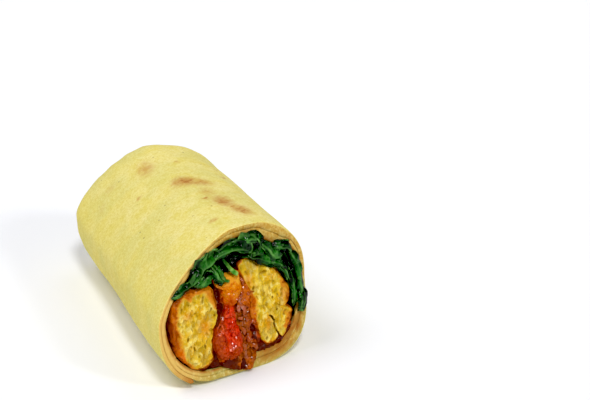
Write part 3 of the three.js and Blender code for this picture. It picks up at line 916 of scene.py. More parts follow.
def bhajiFace(shape):
    dice = random.Random(shape["seed"])
    strands = scatterStrands(shape, dice, (1.0, 3.0), (0.35, 0.9), (0.12, 0.45))
    pits = scatterPits(shape, dice, (0.3, 0.85))

    def face(x, z, size, angle):
        height, tone = strandField(x, z, strands)
        deep = np.maximum(0.55 * pitField(x, z, pits), pitField(x, z, shape["holes"]))
        deep = deep * np.clip(0.8 + 0.5 * rough(x / 0.5, z / 0.5, 2), 0, 1)
        body = 0.55 * crumbly(x / 4.2, z / 4.2, shape["seed"] + 0.5) + 0.55 * crumbly(x / 1.2, z / 1.5, 4.0)
        height = height + body - 0.6 * deep
        crack = np.zeros_like(x)
        if "crack" in shape:
            crack = crackField(x + 0.35 * rough(x, z, 1), z, shape["crack"], 0.44)
            crack = crack * np.clip(0.8 + 0.9 * rough(x / 3, z / 1.3, 6), 0.15, 1)
            height = height - 1.6 * crack
        c, s = direction(angle)
        reach = np.hypot(shape["width"] * c, shape["height"] * s) / 2
        fromRim = (1 - size) * reach + 0.8 * rough(x / 2.2, z / 2.2, 8) + 0.4 * rough(x / 0.7, z / 0.7, 3)
        depth = between(shape["crustDepth"], angle)
        crust = 1 - smooth(fromRim, depth * 0.3, depth * 1.6)
        height = height + 0.45 * crust * crumbly(x / 1.5 + 3, z / 1.5, shape["seed"])
        amber = np.zeros_like(x)
        for ax, az, rx, rz in shape["amber"]:
            amber = np.maximum(amber, np.exp(-((x - ax) / rx) ** 2 - ((z - az) / rz) ** 2))
        marks = {
            "crust": crust,
            "rim": 1 - smooth(fromRim, 0.1, 0.9),
            "golden": between(shape["golden"], angle),
            "seared": between(shape["seared"], angle) * (1 - smooth(fromRim, depth * 0.5, depth)),
            "tone": tone,
            # pit: how deep in a pit, hole or crack a point is, which the finish darkens as painted shade
            "pit": np.maximum(deep, crack),
            "crackLine": crack,
            "amber": amber,
            # rise is the crumb's height; the finish paints raised crumb paler and low crumb darker, as
            # painted light and shade
            "rise": np.clip(height / 1.5 + 0.35, 0, 1),
        }
        return height, marks

    return face


def bhajiFinish():
    finish = Finish("friedBhaji", bhajiLook, Roughness=0.55, Specular_IOR_Level=0.04)
    finish.dress(Coat_Weight=0.07, Coat_Roughness=0.16)
    mark, grain = finish.mark, finish.grain
    tone, rise, pit, crust = mark("tone"), mark("rise"), mark("pit"), mark("crust")
    fine, blob, patch = grain(900, 4, 0.65), grain(430, 3, 0.55), grain(170, 3)
    drawn = {"Vector": finish.place, "Rotation": (0, 0.12, 0), "Scale": (1, 0.6, 0.34)}
    stringy = grain(430, 4, 0.6, 0.4, finish.node("ShaderNodeMapping", {}, drawn))
    crumb = finish.paint("crumb", [
        ("crumbPale", tone.step(0.45, 0.95) * 0.4),
        ("crumbGold", patch.step(0.45, 0.65) * 0.6),
        ("crumbPale", blob.step(0.52, 0.64) * 0.7),
        ("crumbShade", blob.step(0.48, 0.38) * 0.45),
        ("crumbPale", stringy.step(0.52, 0.66) * 0.45),
        ("amber", mark("amber") * 0.75),
        # Painted shade on low crumb and painted highlight on raised crumb
        ("crumbShade", rise.step(0.6, 0.1) * 0.5),
        ("crumbPale", rise.step(0.6, 1.0) * 0.35),
        ("crumbGold", fine.step(0.48, 0.34) * 0.45),
        ("crumbPale", fine.step(0.56, 0.7) * 0.25),
        # Painted shade in the pits, holes and crack
        ("pit", pit.step(0.15, 0.7) * 0.75),
        ("pitDark", pit.step(0.7, 1.0) * 0.5),
        ("crustTan", crust.step(0.02, 0.45) * 0.75),
    ])
    fried = finish.paint("crust", [
        ("amber", fine.step(0.42, 0.6) * 0.45),
        ("crustPale", blob.step(0.5, 0.64) * 0.4),
        ("crustTan", mark("golden") * 0.7),
        ("crustDark", mark("seared") * (0.25 + patch.step(0.4, 0.55) * 0.5)),
        ("crustDark", blob.step(0.47, 0.34) * 0.5),
        ("crustDark", patch.step(0.5, 0.68) * 0.45),
        # Painted shade along the rim of the bhaji's cut face, where it meets the wall, sauce and leaves
        ("crustDark", mark("rim").step(0.4, 0.95) * 0.7),
        # Painted shade on the sides behind the cut
        ("crustDark", mark("deep") * 0.8),
    ])
    colour = finish.blend(crumb, fried, crust.step(0.25, 0.85))
    # Painted shade in the crack
    colour = finish.blend(colour, "pitDark", mark("crackLine").step(0.3, 0.95) * 0.85)
    finish.dress(Base_Color=colour, Normal=finish.relief(fine * 0.7 + stringy * 0.5, 0.0005, 0.7))
    return finish


bhajiCrumb = bhajiFinish()
serve(makeLump("bhaji_left_fried", bhajiLeft, bhajiFace(bhajiLeft)), "bhaji_left", bhajiCrumb)
serve(makeLump("bhaji_right_fried", bhajiRight, bhajiFace(bhajiRight)), "bhaji_right", bhajiCrumb)
print("bhajis fried")


# The two soft pieces of pepper between the bhajis

redPepper = {
    "x": -1.6, "z": 14.2, "width": 7.4, "height": 19.6, "lean": 8, "squareness": 2.5, "proud": 0.9,
    "end": 85.0, "crag": 0.7, "grain": 12.0, "seed": 51, "shoulder": 0.9, "columns": 230, "faceRows": 92,
    "ripple": 0.42,
    # Where it turns orange at its top, and brownish at its foot
    "orangeFrom": (20.5, 24.5), "footFrom": (-2.8, -5.4),
    # Soft knobs on the cut face: middle, radius and height
    "knobs": [
        (-2.4, 21.2, 2.0, 0.6), (-2.6, 17.6, 1.8, 0.5), (-0.6, 14.6, 1.7, 0.6), (-1.4, 10.4, 2.6, 1.0),
        (-5.0, 13.4, 2.2, 0.5), (-5.2, 9.2, 2.2, 0.5), (0.6, 8.0, 1.8, 0.6),
    ],
    "strands": 60, "heading": 84, "spread": 34,
    # Wet beads: middle and radius
    "glints": [
        (-4.6, 19.7, 0.45), (-2.0, 10.5, 0.55), (-3.0, 10.0, 0.4), (-1.1, 10.6, 0.4), (-2.1, 11.6, 0.3),
        (-0.4, 12.8, 0.3), (-6.4, 15.0, 0.3), (-1.6, 18.2, 0.25),
    ],
    "rimLine": [
        (-3.6, 24.6), (-0.1, 24.2), (0.0, 21.6), (0.2, 18.6), (0.5, 16.4), (1.3, 13.9), (2.4, 11.7),
        (2.6, 9.1), (1.9, 6.6), (-0.1, 5.0), (-4.1, 5.4), (-6.6, 7.4), (-8.0, 11.0), (-8.0, 14.1),
        (-7.3, 16.6), (-5.8, 18.4), (-5.2, 20.0), (-4.1, 22.0),
    ],
}
orangePepper = {
    "x": -2.1, "z": 27.8, "width": 8.6, "height": 7.4, "lean": -8, "squareness": 2.6, "proud": 0.9,
    "end": 85.0, "crag": 0.5, "grain": 10.0, "seed": 71, "shoulder": 0.9, "columns": 200, "faceRows": 70,
    "ripple": 0.36,
    "orangeFrom": (24.0, 27.6), "footFrom": (-4.4, -6.4),
    "knobs": [(0.6, 28.4, 2.2, 0.7), (-2.0, 30.6, 2.4, 0.7), (-0.8, 24.8, 2.2, 0.6), (-2.4, 27.4, 1.4, 0.4)],
    "strands": 30, "heading": 84, "spread": 34,
    "glints": [(-2.3, 27.2, 0.35), (-0.4, 26.6, 0.25), (0.6, 24.6, 0.3)],
    "rimLine": [
        (-6.5, 30.0), (-6.7, 32.2), (-3.6, 32.8), (-0.3, 32.4), (2.2, 31.4), (3.0, 28.7), (2.8, 26.2),
        (2.0, 23.6), (-0.2, 21.8), (-3.4, 22.6), (-4.0, 26.0), (-4.4, 28.6),
    ],
}
pepperLook = {
    "red": "#de3412",
    "redDeep": "#7d0604",
    "redOrange": "#c8440a",
    "redFoot": "#a2400e",
    "redPale": "#f0663c",
    "orange": "#dd8010",
    "orangePale": "#f0b23a",
    "orangeDeep": "#b53c06",
}


def pepperFace(shape):
    dice = random.Random(shape["seed"])
    shreds = scatterStrands(shape, dice, (0.5, 1.7), (0.22, 0.5), (0.12, 0.42))

    def face(x, z, size, angle):
        shred, tone = strandField(x, z, shreds)
        height = 0.5 * crumbly(x / 2.6 + shape["seed"], z / 3.4, 2.0, 2)
        height = height + shape["ripple"] * crumbly(x / 1.0, z / 1.2, 6, 2)
        height = height + 0.16 * crumbly(x / 0.45, z / 0.45, shape["seed"], 2)
        height = height + knobField(x, z, shape["knobs"]) + shred + 1 - size ** 2
        height, wet = addGlints(x, z, height, shape["glints"])
        blotch = 0.5 * rough(x / 1.3, z / 1.3, 9)
        # The red piece turns orange at its foot and its top, and the orange one redder below.
        low = np.maximum(smooth(z + 2 * blotch, 13.5, 9.0), smooth(z + 2 * blotch, *shape["orangeFrom"]))
        foot = smooth(z + 2 * blotch, 10.0, 6.5)
        foot = np.maximum(foot, 0.6 * smooth(x + 1.6 * blotch, 0.6, 2.4) * smooth(z, 17.0, 13.0))
        marks = {
            "low": low,
            "tone": tone,
            "wet": wet,
            "rise": np.clip(height / 2.4 + 0.3, 0, 1),
            "rimSoft": smooth(size + blotch * 0.3, 0.72, 1.0),
            "foot": np.maximum(foot, smooth(x + 1.4 * blotch, *shape["footFrom"])),
            "rind": smooth(z + blotch, 29.4, 30.8),
        }
        return height, marks

    return face


def wetFinish(name, look, coatRoughness):
    # Dark and wet: all the shine is in the coat.
    finish = Finish(name, look, Roughness=0.4, Specular_IOR_Level=0.0)
    finish.dress(Coat_IOR=1.8, Coat_Roughness=coatRoughness)
    return finish


def glaze(finish, colour, height, depth, coat, coatOnBeads):
    # The wet beads have more coat and less relief than what lies round them.
    wet = finish.mark("wet")
    relief = finish.relief(height, depth, 0.5 - wet * 0.5)
    finish.dress(Base_Color=colour, Coat_Weight=coat + wet * coatOnBeads, Normal=relief)
    return finish


def redFinish():
    finish = wetFinish("softRedPepper", pepperLook, 0.17)
    mark, tone = finish.mark, finish.mark("tone")
    soft, speck = finish.grain(260, 3), finish.grain(1050, 3, 0.6)
    flesh = finish.paint("red", [
        ("redDeep", soft.step(0.45, 0.7) * 0.8),
        ("redOrange", mark("low") * 0.7),
        ("redFoot", soft.step(0.5, 0.36) * 0.6),
        # Painted shade in the low places of the cut face
        ("redDeep", mark("rise").step(0.6, 0.2) * 0.75),
        ("redDeep", mark("rimSoft") * 0.6),
        ("redFoot", mark("foot") * 0.85),
        ("redDeep", tone.step(0.45, 0.05) * 0.7),
        ("redPale", tone.step(0.62, 0.95) * 0.45),
        ("redDeep", speck.step(0.5, 0.38) * 0.5),
        ("redPale", speck.step(0.56, 0.68) * 0.35),
    ])
    return glaze(finish, flesh, soft, 0.0008, 0.16, 0.5)


def orangeFinish():
    finish = wetFinish("softOrangePepper", pepperLook, 0.2)
    mark, tone = finish.mark, finish.mark("tone")
    soft, speck = finish.grain(330, 3), finish.grain(1050, 3, 0.6)
    flesh = finish.paint("orange", [
        ("orangePale", soft.step(0.45, 0.65) * 0.7),
        # Painted shade in the low places of the cut face
        ("orangeDeep", mark("rise").step(0.6, 0.15) * 0.7),
        ("orangeDeep", mark("rimSoft") * 0.35),
        ("orangeDeep", (1 - mark("low")) * 0.8),
        ("orangeDeep", mark("foot") * 0.6),
        ("orangeDeep", tone.step(0.45, 0.05) * 0.55),
        ("orangePale", tone.step(0.62, 0.95) * 0.5),
        ("orangeDeep", speck.step(0.5, 0.38) * 0.4),
        ("orangePale", speck.step(0.56, 0.68) * 0.3),
        ("orangePale", mark("rind") * 0.5),
    ])
    return glaze(finish, flesh, soft, 0.0008, 0.12, 0.4)


redPiece = makeLump("red_pepper_soft", redPepper, pepperFace(redPepper))
serve(redPiece, "red_pepper", redFinish())
orangePiece = makeLump("orange_pepper_soft", orangePepper, pepperFace(orangePepper))
serve(orangePiece, "orange_pepper", orangeFinish())
print("peppers softened")


# The chutney with its bits of onion

chutney = {
    "x": 0.8, "z": 17.0, "width": 17.0, "height": 31.0, "lean": 2, "squareness": 2.8, "proud": 0.3,
    "end": 88.0, "crag": 0.8, "grain": 8.0, "seed": 91, "shoulder": 0.6, "columns": 300, "faceRows": 110,
    "lumpRise": 0.7, "pits": 14, "strands": 130, "heading": 98, "spread": 30,
    "holes": [(6.4, 12.7, 1.2, 2.8, 105), (-6.0, 26.5, 1.3, 3.8, 95), (-5.0, 22.4, 1.3, 2.4, 100)],
    "glints": [
        (1.4, 23.9, 0.5), (4.4, 29.6, 0.35), (3.6, 27.0, 0.3), (4.0, 22.8, 0.25), (4.8, 19.0, 0.25),
        (2.9, 7.4, 0.35), (2.0, 8.4, 0.3), (4.4, 11.8, 0.3), (5.6, 8.6, 0.3), (3.6, 16.6, 0.25),
    ],
}
chutneyPool = {
    "x": 3.0, "z": 7.4, "width": 40.0, "height": 9.0, "lean": 0, "squareness": 3, "proud": -0.2,
    "end": 88.0, "crag": 0.6, "grain": 8.0, "seed": 111, "shoulder": 0.4, "columns": 220, "faceRows": 40,
    "lumpRise": 0.7, "pits": 26, "strands": 60, "heading": 98, "spread": 30, "dark": 0.9,
    "glints": [(13.0, 7.0, 0.35), (16.8, 6.6, 0.35), (-10.4, 6.0, 0.3), (-5.6, 5.2, 0.35), (10.2, 6.2, 0.3)],
}
spill = {
    "x": 3.4, "z": 3.8, "width": 7.4, "height": 6.8, "lean": 4, "squareness": 2.1, "proud": 0.9,
    "end": 5.0, "crag": 0.6, "grain": 4.0, "seed": 101, "shoulder": 1.3, "columns": 150, "faceRows": 50,
    "lumpRise": 0.6, "pits": 2, "strands": 24, "heading": 98, "spread": 30,
    "dome": 0.6, "drip": 1.0, "darkFrom": (1.6, -0.6), "inside": False,  # it hangs out over the bottom edge
    "knobs": [(4.4, 2.0, 1.3, 1.0), (4.9, 4.3, 1.4, 1.0), (2.3, 3.4, 1.6, 0.8)],
    "glints": [(3.0, 2.3, 0.45), (4.9, 4.8, 0.25), (1.2, 4.6, 0.3)],
    "rimLine": [
        (-6.4, 5.6), (-3.0, 6.8), (0.6, 7.4), (2.6, 7.8), (4.8, 7.2), (6.6, 6.0), (7.3, 4.4), (6.8, 2.8),
        (6.2, 1.6), (4.9, 0.7), (2.8, 0.5), (1.2, 1.2), (-0.8, 2.1), (-3.2, 3.1), (-5.4, 4.2),
    ],
}
# Bits of cooked onion: middle, heading, half length, half width, bend, how far it stands out, tone
onionBits = [
    (1.2, 21.6, 84, 2.3, 0.75, -0.8, 1.2, 1.0),
    (3.2, 20.6, 108, 2.6, 0.8, 0.9, 1.2, 0.95),
    (2.1, 17.8, 150, 1.2, 0.6, 0.5, 0.8, 0.45),
    (1.9, 24.4, 20, 1.2, 0.7, -0.4, 1.1, 1.0),
    (3.4, 29.0, 112, 1.9, 0.6, 0.6, 0.7, 0.15),
    (5.2, 24.6, 106, 1.4, 0.55, -0.5, 0.6, 0.35),
    (3.0, 25.4, 80, 1.2, 0.5, 0.4, 0.7, 0.5),
    (4.6, 16.4, 96, 1.3, 0.6, 0.5, 0.5, 0.5),
    (3.0, 13.6, 122, 2.2, 0.7, 0.7, 0.6, 0.35),
    (4.7, 10.4, 80, 2.0, 0.8, -0.6, 0.7, 0.2),
    (3.0, 8.2, 104, 1.8, 0.75, 0.6, 0.8, 0.4),
    (6.9, 7.4, 140, 1.6, 0.8, 0.5, 0.7, 0.1),
]
chutneyLook = {
    "sauce": "#a8400a",
    "sauceBright": "#d26c14",
    "sauceBrown": "#8a4408",
    "sauceDark": "#480602",
    "onion": "#a04a14",
    "onionPale": "#cf9684",
}


def sauceFace(shape):
    dice = random.Random(shape["seed"])
    pits = scatterPits(shape, dice, (0.5, 1.3)) + shape.get("holes", [])
    shreds = scatterStrands(shape, dice, (0.7, 2.4), (0.25, 0.6), (0.08, 0.32))

    def face(x, z, size, angle):
        shred, tone = strandField(x, z, shreds)
        height = shape["lumpRise"] * crumbly(x / 2.4, z / 2.4, shape["seed"], 3)
        height = height + 0.22 * crumbly(x / 0.9, z / 0.9, shape["seed"] + 3, 2)
        height = height + shape.get("dome", 0.0) * (1 - size ** 2) + shred
        if "knobs" in shape:
            height = np.maximum(height, knobField(x, z, shape["knobs"]))
        deep = pitField(x, z, pits)
        dark = np.maximum(deep, shape.get("dark", 0.0) * smooth(rough(x / 2.2, z / 2.2, 3) + 0.6, 0, 0.8))
        # Painted shade in the gap between the red piece and the left bhaji
        dark = np.maximum(dark, 0.9 * smooth(x, -3.2, -6.4) * smooth(z, 8.0, 14.0))
        if "darkFrom" in shape:
            dark = np.maximum(dark, 0.6 * smooth(x + rough(x, z, 3), *shape["darkFrom"]))
        height, wet = addGlints(x, z, height - 0.8 * deep, shape["glints"])
        marks = {
            "pit": dark,
            "rise": np.clip(height / 2.4 + 0.4, 0, 1),
            "drip": shape.get("drip", 0.0),
            "tone": tone,
            # Between the orange piece and the right bhaji the sauce is brighter.
            "streak": smooth(z, 19.0, 23.5) * smooth(x, 0.8, 2.4),
            "wet": wet,
        }
        return height, marks

    return face


def sauceFinish():
    finish = wetFinish("tomatoChutney", chutneyLook, 0.17)
    mark, tone = finish.mark, finish.mark("tone")
    broad, patch, speck = finish.grain(110, 2), finish.grain(300, 3), finish.grain(1000, 3, 0.6)
    sauce = finish.paint("sauce", [
        ("sauceBright", patch.step(0.48, 0.66) * 0.8),
        ("sauceBrown", broad.step(0.45, 0.62) * 0.8),
        ("sauceBright", mark("streak") * 0.75),
        ("sauceBrown", mark("drip") * 0.55),
        ("onionPale", tone.step(0.72, 0.98) * 0.28),
        ("sauceBright", tone.step(0.5, 0.72) * tone.step(0.8, 0.65) * 0.5),
        ("sauceDark", tone.step(0.4, 0.05) * 0.5),
        ("sauceBright", speck.step(0.54, 0.66) * 0.45),
        ("sauceDark", speck.step(0.48, 0.36) * 0.5),
        ("sauceDark", patch.step(0.46, 0.3) * 0.7),
        # Painted shade on low places, in pits and gaps, and on the sides behind the cut
        ("sauceDark", mark("rise").step(0.55, 0.15) * 0.55),
        ("sauceDark", mark("pit").step(0.1, 0.7) * 0.9),
        ("sauceDark", mark("deep") * 0.7),
    ])
    return glaze(finish, sauce, patch, 0.001, 0.16, 0.5)


def makeOnionBit(number, bit):
    ox, oz, heading, length, width, bend, proud, tone = bit
    columns, rows = 37, 17
    c, s = direction(heading)

    def place(column, row):
        # A curved strip with a thick middle, closed at both tips
        run = column / (columns - 1) * 2 - 1
        turn = row / (rows - 1) * 2 * math.pi
        girth = np.sqrt(np.clip(1 - np.abs(run) ** 2.2, 0, 1))
        ripple = 1 + 0.3 * rough(run * 3 + number, np.cos(turn), np.sin(turn))
        across = width * girth * np.cos(turn) * ripple + bend * run ** 2
        out = 0.6 * girth * np.sin(turn) * ripple
        x = ox + run * length * c - across * s
        z = oz + run * length * s + across * c
        y = cutAt(x, z) - proud + out + 0.9 * run ** 2
        return along(x, np.maximum(z, 0.2), y), {"tone": tone, "edge": np.abs(np.cos(turn))}

    return addSurface(f"onion_{number}", columns, rows, place)


def onionFinish():
    finish = Finish("cookedOnion", chutneyLook, Roughness=0.35, Specular_IOR_Level=0.0)
    finish.dress(Coat_Weight=0.5, Coat_Roughness=0.1)
    streak, soaked = finish.grain(700, 3), finish.grain(380, 3)
    flesh = finish.paint("onion", [
        ("onionPale", finish.mark("tone") * streak.step(0.42, 0.66) * 0.75),
        ("sauce", soaked.step(0.46, 0.62) * 0.75),
        ("sauceDark", finish.mark("edge").step(0.6, 1.0) * 0.6),
    ])
    finish.dress(Base_Color=flesh, Normal=finish.relief(soaked, 0.0006, 0.4))
    return finish


shapes = {"sauce_middle": chutney, "sauce_pool": chutneyPool, "sauce_spill": spill}
pools = [makeLump(name, shape, sauceFace(shape)) for name, shape in shapes.items()]
serve(joinPieces(pools, "chutney_sauce"), "chutney", sauceFinish())
bits = [makeOnionBit(number, bit) for number, bit in enumerate(onionBits)]
serve(joinPieces(bits, "chutney_onion_bits"), "chutney", onionFinish())
print("chutney spread")


# The spinach: a packed arch of leaves, with single leaves that fold out over the cut

spinach = {
    # The bundle's underside: its distance from the middle of the roll, by the angle round it
    "underside": [
        (-26, 23.7), (-6, 20.2), (20, 16.6), (52, 14), (75, 12.4), (97, 9.2),
        (111, 8.8), (130, 11.8), (144, 15.7), (155, 20.6), (163, 22.5),
    ],
    "proud": 0.3,
    "foldRelief": 1.5,
    "end": 88.0,
    "leafThickness": 0.42,
    # Leaves: the points that a leaf's fold runs through, its width to either side of the fold, how far
    # it stands out, how strongly it is folded, and its ruffle
    "leaves": [
        ([(-22.8, 30.9), (-19.3, 31.8), (-16.8, 32.8), (-13.5, 33.0)], (1.9, 2.0), 1.6, 1.5, 0.7),
        ([(-15.0, 32.6), (-12.4, 35.2), (-10.4, 37.1), (-7.1, 38.6), (-3.5, 39.7)], (1.0, 4.6), 2.4, 2.4,
         0.8),
        ([(-14.0, 32.6), (-11.0, 33.4), (-9.0, 34.6), (-7.0, 34.4)], (2.6, 2.0), 2.3, 1.6, 1.0),
        ([(-8.0, 38.4), (-3.5, 40.2), (0.6, 40.6), (4.6, 39.2), (7.6, 36.6)], (1.3, 3.0), 2.8, 2.0, 0.7),
        ([(-7.6, 37.0), (-6.2, 34.6), (-5.0, 32.4), (-3.2, 31.0)], (2.2, 1.9), 2.6, 1.6, 1.0),
        ([(1.6, 40.4), (4.6, 41.6), (8.6, 41.2), (12.0, 38.6)], (2.4, 2.8), 2.4, 1.8, 1.1),
        ([(8.4, 42.0), (9.2, 39.8), (8.8, 37.6), (7.0, 36.2)], (2.0, 2.2), 3.1, 1.5, 1.0),
        ([(9.6, 40.4), (12.6, 37.0), (15.2, 34.2), (18.2, 33.8)], (2.0, 2.6), 2.9, 1.8, 1.0),
        ([(5.2, 36.6), (9.0, 35.2), (12.6, 33.2), (16.2, 31.6)], (2.0, 2.2), 2.6, 1.6, 0.9),
        ([(13.6, 36.4), (16.6, 36.4), (19.6, 35.4), (21.6, 33.0)], (1.6, 2.6), 2.2, 1.6, 0.9),
        ([(13.4, 32.6), (16.6, 31.2), (18.8, 28.4), (20.4, 24.6)], (1.6, 1.4), 2.5, 1.4, 0.6),
        ([(20.4, 34.6), (22.4, 31.0), (23.8, 27.2), (24.2, 22.2), (24.4, 17.4)], (1.7, 1.9), 2.2, 1.4, 0.7),
        ([(24.4, 21.6), (25.4, 18.8), (25.2, 16.2), (23.4, 13.8)], (3.0, 1.8), 2.2, 1.0, 0.4),
        ([(21.0, 28.0), (21.8, 24.0), (22.0, 19.6), (21.8, 15.4)], (1.2, 1.3), 0.9, 1.0, 0.5),
    ],
    # Stalks: the points that a stalk runs through, its half width at either end, how far it stands
    # out, and how pale it gets
    "stalks": [
        ([(-3.8, 38.8), (-2.9, 37.2), (-1.7, 35.4), (-0.4, 33.9), (1.2, 32.6)], (0.45, 0.75), 2.8, 1.0),
        ([(-5.4, 37.0), (-5.2, 35.2), (-4.6, 33.6), (-3.5, 32.2), (-2.0, 31.6)], (0.5, 0.5), 3.2, 0.45),
    ],
    "leaf": "#0d3d0e",
    "leafPaintedLight": "#217318",
    "leafPaintedShade": "#010602",
    "leafPaintedHighlight": "#70ab53",
    "vein": "#539139",
    "stalk": "#39801a",
    "stalkPale": "#8cbc54",
}


def curvePoint(line, share):
    # A smooth curve through a leaf's points, with its heading
    line = np.array(line, float)
    steps = np.linspace(0, 1, len(line))

    def at(place):
        segment = np.clip(np.searchsorted(steps, place, side="right") - 1, 0, len(line) - 2)
        t = (place - steps[segment]) * (len(line) - 1)
        padded = np.vstack([2 * line[0] - line[1], line, 2 * line[-1] - line[-2]])
        a, b, c, d = (padded[segment + k] for k in range(4))
        t = t[..., None]
        square, cube = 2 * a - 5 * b + 4 * c - d, 3 * b - a - 3 * c + d
        return 0.5 * (2 * b + (c - a) * t + square * t ** 2 + cube * t ** 3)

    point = at(share)
    ahead = at(np.clip(share + 0.01, 0, 1)) - at(np.clip(share - 0.01, 0, 1))
    ahead = ahead / np.linalg.norm(ahead, axis=-1, keepdims=True)
    return point[..., 0], point[..., 1], ahead[..., 0], ahead[..., 1]


def makeLeaf(seed, leaf):
    fold, (left, right), proud, curl, ruffle = leaf
    columns, rows, veins = 68, 32, 9
    length = sum(math.dist(a, b) for a, b in zip(fold, fold[1:]))

    def place(column, row):
        run, side = column / (columns - 1), row / (rows - 1) * 2 - 1
        beside = np.abs(side)
        x, z, hx, hz = curvePoint(fold, run)
        taper = np.clip(1 - np.abs(run * 2 - 1) ** 3.2, 0, 1) ** 0.6
        taper = taper * (0.82 + 0.25 * rough(run * 5 + seed, side * 2, 3))
        swing = 0.35 * rough(run * 6, side * 1.5 + seed, 5) * ruffle
        across = side * np.where(side < 0, left, right) * taper + swing
        px, pz = x - hz * across, z + hx * across
        # Creases that run along the leaf, and finer ones on them
        drift = 0.8 * rough(run * length / 4, side, seed)
        crease = crumbly(run * length / 6.5 + seed * 3.1, (across + drift) / 1.7, seed * 1.7, 2)
        crease = 1 - np.abs(crease) * 2.4
        crinkle = 1 - np.abs(rough(px / 0.9, pz / 0.9 + seed, 4.4)) * 2.6
        wave = np.sin(run * 19 + seed * 2 + 2.2 * rough(run * 4, seed, 1)) * beside ** 1.4 * ruffle
        bent = np.sqrt(side ** 2 + 0.02) - 0.14
        back = curl * bent * (0.95 + 0.4 * rough(run * 5, seed, 2)) + 1.6 * np.abs(run * 2 - 1) ** 4
        out = proud + (0.6 * crease + 0.18 * crinkle) * (0.3 + beside) + 0.6 * wave - back
        y = cutAt(px, pz) - out
        # Where a leaf goes back behind the cut, it stays in the room inside the roll.
        inside = smooth(-out, -1.0, 0.4)
        kx, kz = keepInside(px, pz, 0, 0.3)
        px, pz = lerp(px, kx, inside), lerp(pz, kz, inside)
        vein = np.exp(-(side / 0.09) ** 2) * 0.7
        for stem in (np.arange(veins) + 0.5) / veins:
            away = np.abs(run - stem - 0.10 * beside) * 30
            vein = np.maximum(vein, 0.5 * np.exp(-away ** 2) * (1 - beside))
        # Painted highlights: a thin bright line along the fold and on the creases' crests; rise is painted
        # light on crests and painted shade where the leaf curls back
        ridge = np.exp(-(side / 0.12) ** 2) * np.clip(0.5 + 0.9 * rough(run * 6, seed, 4), 0, 1)
        crest = smooth(crease, 0.72, 0.98) * np.clip(0.45 + 0.9 * rough(run * 4, side * 2 + seed, 6), 0, 1)
        marks = {
            "vein": vein,
            "rise": np.clip(0.46 + 0.5 * crease + 0.12 * crinkle - 0.3 * back, 0.18, 1),
            "leafEdgeHighlight": smooth(beside, 0.93, 1.0) * smooth(rough(run * 5, side + seed, 9), -0.1, 0.5),
            "ridge": np.maximum(ridge, crest),
        }
        return along(px, pz, y), marks

    piece = addSurface(f"leaf_{seed}", columns, rows, place, gap=None)
    applyModifier(piece, "SOLIDIFY", thickness=spinach["leafThickness"] * millimetre, offset=0.0)
    closeSurface(piece, 0.01)
    return piece


def makeStalk(number, stalk):
    fold, girths, proud, pale = stalk
    columns, rows = 31, 13

    def place(column, row):
        run, turn = column / (columns - 1), row / (rows - 1) * 2 * math.pi
        x, z, hx, hz = curvePoint(fold, run)
        girth = lerp(*girths, run) * np.clip(1 - np.abs(run * 2 - 1) ** 8, 0, 1) ** 0.5
        girth = girth * (1 + 0.18 * rough(run * 6, np.cos(turn), np.sin(turn) + number))
        across = girth * np.cos(turn)
        px, pz = x - hz * across, z + hx * across
        out = proud + girth * np.sin(turn) * 0.8 - 1.2 * (1 - run) ** 2
        return along(px, pz, cutAt(px, pz) - out), {"stalk": smooth(run, 0.05, 0.75) * pale, "rise": 0.6}

    return addSurface(f"stalk_{number}", columns, rows, place, gap=0.01)


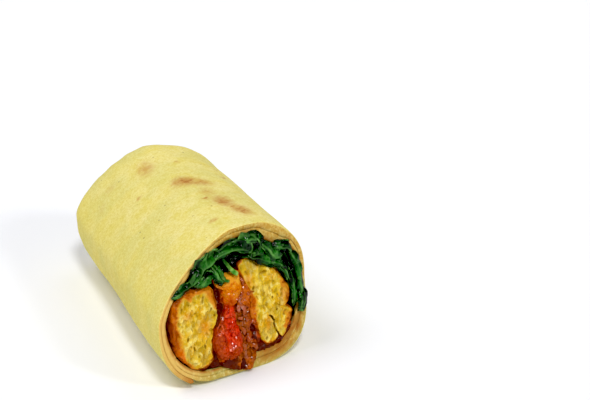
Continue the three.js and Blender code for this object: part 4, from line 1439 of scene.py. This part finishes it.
def makeLeafBundle():
    low, high = spinach["underside"][0][0], spinach["underside"][-1][0]
    columns, faceRows = 240, 46
    depths = np.array([1.0, 3.0, 7.0, 16.0, 32.0, 50.0, 66.0, 76.0, 82.0, 86.5])
    # The loop round the bundle: its face from the underside to the roof, its roof, and back below
    loop = [(share, 0.0, 1.0) for share in np.linspace(0, 1, faceRows)]
    loop = loop + [(1.0, depth, 0.0) for depth in depths]
    loop = loop + [(0.5, spinach["end"], 0.0)]
    loop = loop + [(0.0, depth, 0.0) for depth in depths[::-1]]
    loop = np.array(loop + [loop[0]])

    def place(column, row):
        angle = lerp(low, high, column / (columns - 1))
        share, depth, onFace = loop[row].T
        c, s = direction(angle)
        roof = np.interp(np.radians(angle), roomTurn, roomReach) - 0.3
        ends = np.sqrt(np.clip(np.minimum(angle - low, high - angle) / 5, 0, 1))
        reach = roof - (roof - between(spinach["underside"], angle)) * ends * (1 - share)
        x, z = reach * c, roll["widestAt"] + reach * s
        warp = 1.4 * rough(x / 5, z / 5, 7)
        ridge = 1 - np.abs(rough(angle / 17 + warp, reach / 2.1 + warp, 2.0)) * 2.4
        ridge = 0.7 * ridge + 0.4 * (1 - np.abs(rough(x / 1.6, z / 1.6, 5.0)) * 2) - 0.25
        bulged = smooth(np.minimum(share, 1 - share), 0, 0.16)
        rise = spinach["foldRelief"] * ridge * bulged - 1.4 * (1 - bulged)
        kx, kz = keepInside(x, z, depth, 0.3)
        front = cutAt(x, z) - spinach["proud"] - rise * ends
        y = lerp(front, np.maximum(depth, front), 1 - onFace)
        # rise paints the bundle's ridges lighter and its valleys darker, as painted light and shade; deep
        # darkens its sides behind the cut as painted shade
        marks = {"rise": np.clip(ridge * 0.5 + 0.3, 0, 1) * onFace, "deep": smooth(depth, 0.2, 3)}
        return along(kx, kz, y), marks

    return addSurface("leaf_bundle", columns, len(loop), place)


def spinachFinish():
    finish = Finish("wiltedSpinach", spinach, Roughness=0.45, Specular_IOR_Level=0.0)
    finish.dress(Coat_Weight=0.34, Coat_Roughness=0.14)
    mark, grain = finish.mark, finish.grain
    rise, vein, patch = mark("rise"), mark("vein"), grain(240, 3)
    # Thin lines where the noise crosses its middle: painted highlights of fine creases, also used as relief
    line = grain(230, 1.5, 0.5, 0.6) - 0.5
    creased = (line * line).step(0.0011, 0.0)
    # Painted light on raised leaf, painted shade in its hollows, behind the cut and in random patches, and
    # painted highlights on ridges, crease lines and leaf edges
    leaf = finish.paint("leaf", [
        ("leafPaintedLight", patch.step(0.5, 0.7) * rise.step(0.3, 0.7) * 0.8),
        ("leafPaintedLight", rise.step(0.6, 1.0) * 0.7),
        ("leafPaintedShade", grain(190, 2).step(0.54, 0.4) * 0.6),
        ("leafPaintedShade", rise.step(0.65, 0.25) * 0.95),
        ("leafPaintedHighlight", creased * rise.step(0.4, 0.8) * 0.25),
        ("leafPaintedShade", mark("deep") * 0.8),
        ("leafPaintedHighlight", mark("ridge") * (0.35 + patch.step(0.4, 0.6) * 0.5)),
        ("leafPaintedHighlight", mark("leafEdgeHighlight") * 0.7),
        ("vein", vein.step(0.35, 0.9) * 0.45),
        (finish.blend("stalk", "stalkPale", grain(420, 2).step(0.4, 0.65)), mark("stalk")),
    ])
    puffed = finish.cells(520, "SMOOTH_F1")
    height = puffed * -0.4 + vein * -0.3 + grain(700, 3) * 0.3 + creased * 0.15
    finish.dress(Base_Color=leaf, Normal=finish.relief(height, 0.0007, 0.7))
    return finish


bundle = [makeLeafBundle()]
bundle = bundle + [makeLeaf(number, leaf) for number, leaf in enumerate(spinach["leaves"], 1)]
bundle = bundle + [makeStalk(number, stalk) for number, stalk in enumerate(spinach["stalks"])]
serve(joinPieces(bundle, "spinach_leaves"), "spinach", spinachFinish())
print("spinach folded in")
